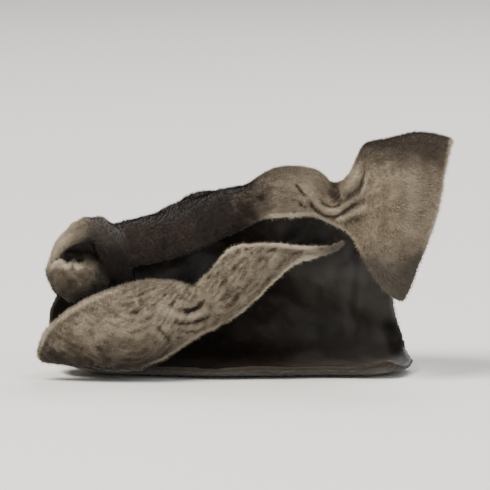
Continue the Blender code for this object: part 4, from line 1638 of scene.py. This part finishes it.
    def carve(self, points: Array, faces: Array, traced: Traced, lift: Array) -> Array:
        """Push the coarse folds through the sheet, and the fine ones into its felted side.

        Args:
            points: The joined skin's points.
            faces: Its faces.
            traced: What its points know.
            lift: How far creases and ridges lift them.

        Returns:
            The carved points, the lowest of them on the floor.
        """
        coarse, fine = self.wall_folds(points, traced)
        more_coarse, more_fine = self.lobe_folds(points, traced)
        points = points + traced.outward * (coarse + more_coarse + lift)[:, None]
        points = self.relax(points, faces, 1, 0.5)
        normal = self.normals(points, faces)
        outer = smooth_step(-0.3, 0.4, np.sum(normal * traced.outward, axis=1))
        shown = self.fine_inside + (1 - self.fine_inside) * outer
        points = points + normal * ((fine + more_fine) * shown)[:, None]
        floor = self.rest_cut - self.wall.thick / 2
        points[:, 2] = np.maximum(points[:, 2], floor)
        return points - np.array([0, 0, floor])

    def build(self) -> Object:
        """Make the finished skin as one object in the row's frame.

        Returns:
            The object.
        """
        skins = self.lobes()
        points, faces = self.join(skins)
        points = self.relax(points, faces, 2, 0.5)
        traced = self.trace(skins, points)
        lift = self.strokes(points, traced)
        carved = self.carve(points, faces, traced, lift)
        normal = self.normals(carved, faces)
        inner = 1 - smooth_step(-0.35, 0.35, np.sum(normal * traced.outward, axis=1))
        # wrinkles stand out against a slightly smoothed skin, and folds against a much smoother one; the
        # finishes paint shade into their low places and highlights onto the wrinkles' crests
        near = self.relax(carved, faces, 6, 0.6)
        wide = self.relax(near, faces, 40, 0.7)
        relief = np.sum((carved - near) * normal, axis=1) / self.relief_span
        hollow = np.sum((near - wide) * normal, axis=1) / self.hollow_span
        mesh = bpy.data.meshes.new("ear_skin")
        mesh.from_pydata(((carved - np.array([*self.middle, 0])) * MM).tolist(), [], faces.tolist())
        values = Tones(points, traced, inner, lift).all()
        values.update({"inner": inner, "relief": 0.5 + relief, "hollow": 0.5 + hollow})
        # the strokes' lift, which the finishes paint as shade in creases and as highlight on ridges
        values["drawn"] = np.clip(0.5 + lift / self.hollow_span, 0, 1)
        for name, value in values.items():
            mesh.attributes.new(name, "FLOAT", "POINT").data.foreach_set("value", value.astype(np.float32))
        for name, value in {"fibre": traced.place, "grain": traced.grain}.items():
            data = mesh.attributes.new(name, "FLOAT_VECTOR", "POINT").data
            data.foreach_set("vector", value.astype(np.float32).ravel())
        mesh.materials.append(FeltedOutside().material())
        mesh.materials.append(WaxyInside().material())
        index = np.where(inner[faces].mean(axis=1) > 0.5, Side.INNER.value, Side.OUTER.value)
        mesh.polygons.foreach_set("material_index", index.astype(np.int32))
        mesh.shade_smooth()
        return add_object("ear_skin", mesh)


# ---------------------------------------------------------------- the felt


@dataclass(frozen=True)
class Felt:
    """Short hair planted by Geometry Nodes on one region of the skin's outer side."""

    name: str  # also the name of the skin's attribute that says where this hair stands
    seed: int
    hairs: int = 46000
    long: float = 0.27  # millimetres
    wide: float = 0.014  # half a hair's width at its root, in millimetres
    lift: float = 0.55  # how steeply it stands
    lay: float = 0.55  # how much it lies along the lobe
    spread: float = 0.55  # how much it strays
    shortest: float = 0.55  # the shortest hair's share of the length, and the longest's
    longest: float = 1.35

    def tree(self, finish: Material) -> Tree:
        """Build the node tree, with its sizes as named inputs.

        Args:
            finish: The hair's material.

        Returns:
            The tree.
        """
        tree = bpy.data.node_groups.new("felt", "GeometryNodeTree")
        kinds = {"Skin": "Geometry", "Region": "String", "Seed": "Int"}
        for name in ("Skin", "Region", "Density", "Length", "Root", "Lift", "Lay", "Spread", "Seed"):
            kind = "NodeSocket" + kinds.get(name, "Float")
            tree.interface.new_socket(name, in_out="INPUT", socket_type=kind)
        tree.interface.new_socket("Hair", in_out="OUTPUT", socket_type="NodeSocketGeometry")
        given = add_node(tree, "NodeGroupInput").outputs
        seed = {"Seed": given["Seed"]}

        def attribute(name: str | Socket, kind: str) -> Socket:
            """Read one of the skin's attributes."""
            node = add_node(tree, "GeometryNodeInputNamedAttribute", {"Name": name}, data_type=kind)
            return node.outputs["Attribute"]

        # roots, as many for each area as the region's attribute says
        share = {0: attribute(given["Region"], "FLOAT"), 1: given["Density"]}
        thick = add_node(tree, "ShaderNodeMath", share, operation="MULTIPLY").outputs[0]
        planting = {"Mesh": given["Skin"], "Density": thick, **seed}
        roots = add_node(tree, "GeometryNodeDistributePointsOnFaces", planting).outputs
        # one chance for each hair, which shades it
        chance = add_node(tree, "FunctionNodeRandomValue", seed, data_type="FLOAT").outputs[1]
        store = {"Geometry": roots["Points"], "Name": "shade", "Value": chance}
        shaded = add_node(tree, "GeometryNodeStoreNamedAttribute", store, data_type="FLOAT", domain="POINT")
        # its way: out of the skin, along the lobe, and astray
        limits = {0: (-1.0, -1.0, -1.0), 1: (1.0, 1.0, 1.0), **seed}
        stray = add_node(tree, "FunctionNodeRandomValue", limits, data_type="FLOAT_VECTOR").outputs[0]
        way = None
        grain = attribute("grain", "FLOAT_VECTOR")
        for part, name in ((roots["Normal"], "Lift"), (grain, "Lay"), (stray, "Spread")):
            scaling = {0: part, "Scale": given[name]}
            scaled = add_node(tree, "ShaderNodeVectorMath", scaling, operation="SCALE").outputs[0]
            way = add_node(tree, "ShaderNodeVectorMath", {0: way, 1: scaled}).outputs[0] if way else scaled
        turned = add_node(tree, "FunctionNodeAlignRotationToVector", {"Vector": way}, axis="Z")
        sizes = {2: self.shortest, 3: self.longest, **seed}
        size = add_node(tree, "FunctionNodeRandomValue", sizes, data_type="FLOAT").outputs[1]
        # the hair itself, a spike of four triangles
        shape = {"Vertices": 3, "Radius Top": 0.0, "Radius Bottom": given["Root"], "Depth": given["Length"]}
        spike = add_node(tree, "GeometryNodeMeshCone", shape, fill_type="NGON").outputs["Mesh"]
        placing = {
            "Points": shaded.outputs["Geometry"],
            "Instance": spike,
            "Rotation": turned.outputs["Rotation"],
            "Scale": size,
        }
        hairs = add_node(tree, "GeometryNodeInstanceOnPoints", placing).outputs["Instances"]
        real = add_node(tree, "GeometryNodeRealizeInstances", {"Geometry": hairs}).outputs["Geometry"]
        dressed = add_node(tree, "GeometryNodeSetMaterial", {"Geometry": real, "Material": finish})
        add_node(tree, "NodeGroupOutput", {"Hair": dressed.outputs["Geometry"]})
        return tree

    def density(self, skin: Object) -> float:
        """Find how many hairs a square metre needs for the region to hold them all.

        Args:
            skin: The ear's skin.

        Returns:
            The hairs per square metre where the region's attribute is 1.
        """
        mesh = skin.data
        weight = np.zeros(len(mesh.vertices), np.float32)
        mesh.attributes[self.name].data.foreach_get("value", weight)
        area = np.zeros(len(mesh.polygons), np.float32)
        mesh.polygons.foreach_get("area", area)
        corners = np.zeros(len(mesh.loops), np.int32)
        mesh.loops.foreach_get("vertex_index", corners)
        return self.hairs / float((weight[corners.reshape(-1, 4)].mean(axis=1) * area).sum())

    def build(self, skin: Object, finish: Material) -> Object:
        """Plant the hair and turn it into a plain mesh.

        Args:
            skin: The ear's skin.
            finish: The hair's material.

        Returns:
            The hair as one object.
        """
        work = add_object("felt_work", skin.data)
        tree = self.tree(finish)
        plant = work.modifiers.new("felt", "NODES")
        plant.node_group = tree
        values = {
            "Region": self.name,
            "Density": self.density(skin),
            "Length": self.long * MM,
            "Root": self.wide * MM,
            "Lift": self.lift,
            "Lay": self.lay,
            "Spread": self.spread,
            "Seed": self.seed,
        }
        for item in tree.interface.items_tree:
            if item.in_out == "INPUT" and item.name in values:
                plant[item.identifier] = values[item.name]
        graph = bpy.context.evaluated_depsgraph_get()
        mesh = bpy.data.meshes.new_from_object(work.evaluated_get(graph))
        bpy.data.objects.remove(work)
        mesh.name = self.name
        return add_object(self.name, mesh)


# ---------------------------------------------------------------- studio


@dataclass
class Studio:
    """A pale paper sweep, soft light, and the camera at the picture's viewing angle, in metres."""

    target: tuple = (0.0, 0.0, 0.0100)
    elevation: float = 5.5  # degrees
    distance: float = 0.53
    view_width: float = 0.0385  # across the frame at the target
    sensor: float = 36.0  # millimetres
    nearest: float = 0.01  # closer than this the camera sees nothing
    paper_front: float = -1.6  # y of the paper's front edge
    paper_bend: float = 0.9  # y where it starts to rise
    bend_radius: float = 0.3
    paper_top: float = 1.2
    paper_half: float = 1.8  # half its width
    # name, place, size, watts and colour of each light
    lights: tuple = (
        ("key", (-0.20, -0.22, 0.42), 0.26, 4.6, "#FFF8EE"),
        ("fill", (0.34, -0.30, 0.20), 0.35, 0.9, "#F2F6FF"),
        ("back", (0.10, 0.34, 0.36), 0.25, 1.6, "#FFFFFF"),
    )
    surroundings: str = "#F0F0EF"
    surroundings_strength: float = 0.50

    def aim(self, thing: Object, place: Vector) -> None:
        """Put a light or the camera at its place, looking at the target."""
        thing.location = place
        thing.rotation_euler = (Vector(self.target) - place).to_track_quat("-Z", "Y").to_euler()

    def sweep(self) -> None:
        """Make the floor, which rises in a curve behind the ear."""
        flat = np.linspace(self.paper_front, self.paper_bend, 6)
        turn = np.linspace(0.1, math.pi / 2, 16)
        end = self.paper_bend + self.bend_radius
        depth = [*flat, *(self.paper_bend + self.bend_radius * np.sin(turn)), end]
        height = [*(0 * flat), *(self.bend_radius - self.bend_radius * np.cos(turn)), self.paper_top]
        points = [(side * self.paper_half, y, z) for y, z in zip(depth, height) for side in (-1, 1)]
        faces = [(2 * i, 2 * i + 1, 2 * i + 3, 2 * i + 2) for i in range(len(depth) - 1)]
        mesh = bpy.data.meshes.new("paper_sweep")
        mesh.from_pydata(points, [], faces)
        mesh.materials.append(PalePaper().material())
        mesh.shade_smooth()
        add_object("paper_sweep", mesh)

    def light(self, name: str, place: tuple, size: float, watts: float, colour: str) -> None:
        """Hang one soft square light that looks at the ear.

        Args:
            name: Its name.
            place: Where it hangs.
            size: The length of its sides.
            watts: Its power.
            colour: Its sRGB hex colour.
        """
        data = bpy.data.lights.new(name, "AREA")
        data.size = size
        data.energy = watts
        data.color = linear(colour)[:3]
        self.aim(add_object(name, data), Vector(place))

    def camera(self) -> None:
        """Set the camera at the picture's angle, close in on the ear."""
        data = bpy.data.cameras.new("camera")
        data.sensor_width = self.sensor
        data.lens = self.sensor * self.distance / self.view_width
        data.clip_start = self.nearest
        made = add_object("camera", data)
        rise = math.radians(self.elevation)
        self.aim(made, Vector(self.target) + Vector((0.0, -math.cos(rise), math.sin(rise))) * self.distance)
        bpy.context.scene.camera = made

    def build(self) -> None:
        """Set up everything round the ear."""
        self.sweep()
        for light in self.lights:
            self.light(*light)
        world = bpy.data.worlds.new("studio")
        world.use_nodes = True
        background = world.node_tree.nodes["Background"].inputs
        background["Color"].default_value = linear(self.surroundings)
        background["Strength"].default_value = self.surroundings_strength
        bpy.context.scene.world = world
        self.camera()


def report(piece: Object) -> None:
    """Log a piece's name and how many triangles it has.

    Args:
        piece: The piece.
    """
    mesh = piece.data
    mesh.calc_loop_triangles()
    LOG.info("%s: %d points, %d triangles", piece.name, len(mesh.vertices), len(mesh.loop_triangles))


def main() -> None:
    """Build the ear and the studio, in order."""
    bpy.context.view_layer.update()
    skin = EarSkin(Wall(), Tongue(), Curl(), Bud(), Stub(), Roll()).build()
    finish = FeltHair().material()
    felts = (
        Felt("felt_front", SEED + 101),
        Felt("felt_back", SEED + 102),
        Felt("felt_left", SEED + 103, hairs=36000),
        Felt("felt_lobes", SEED + 104, hairs=40000, long=0.24),
    )
    for piece in [skin] + [felt.build(skin, finish) for felt in felts]:
        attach(piece, "root")
        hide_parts(NODE)
        report(piece)
    Studio().build()


if __name__ == "__main__":
    logging.basicConfig(level=logging.INFO, format="%(name)s: %(message)s")
    main()
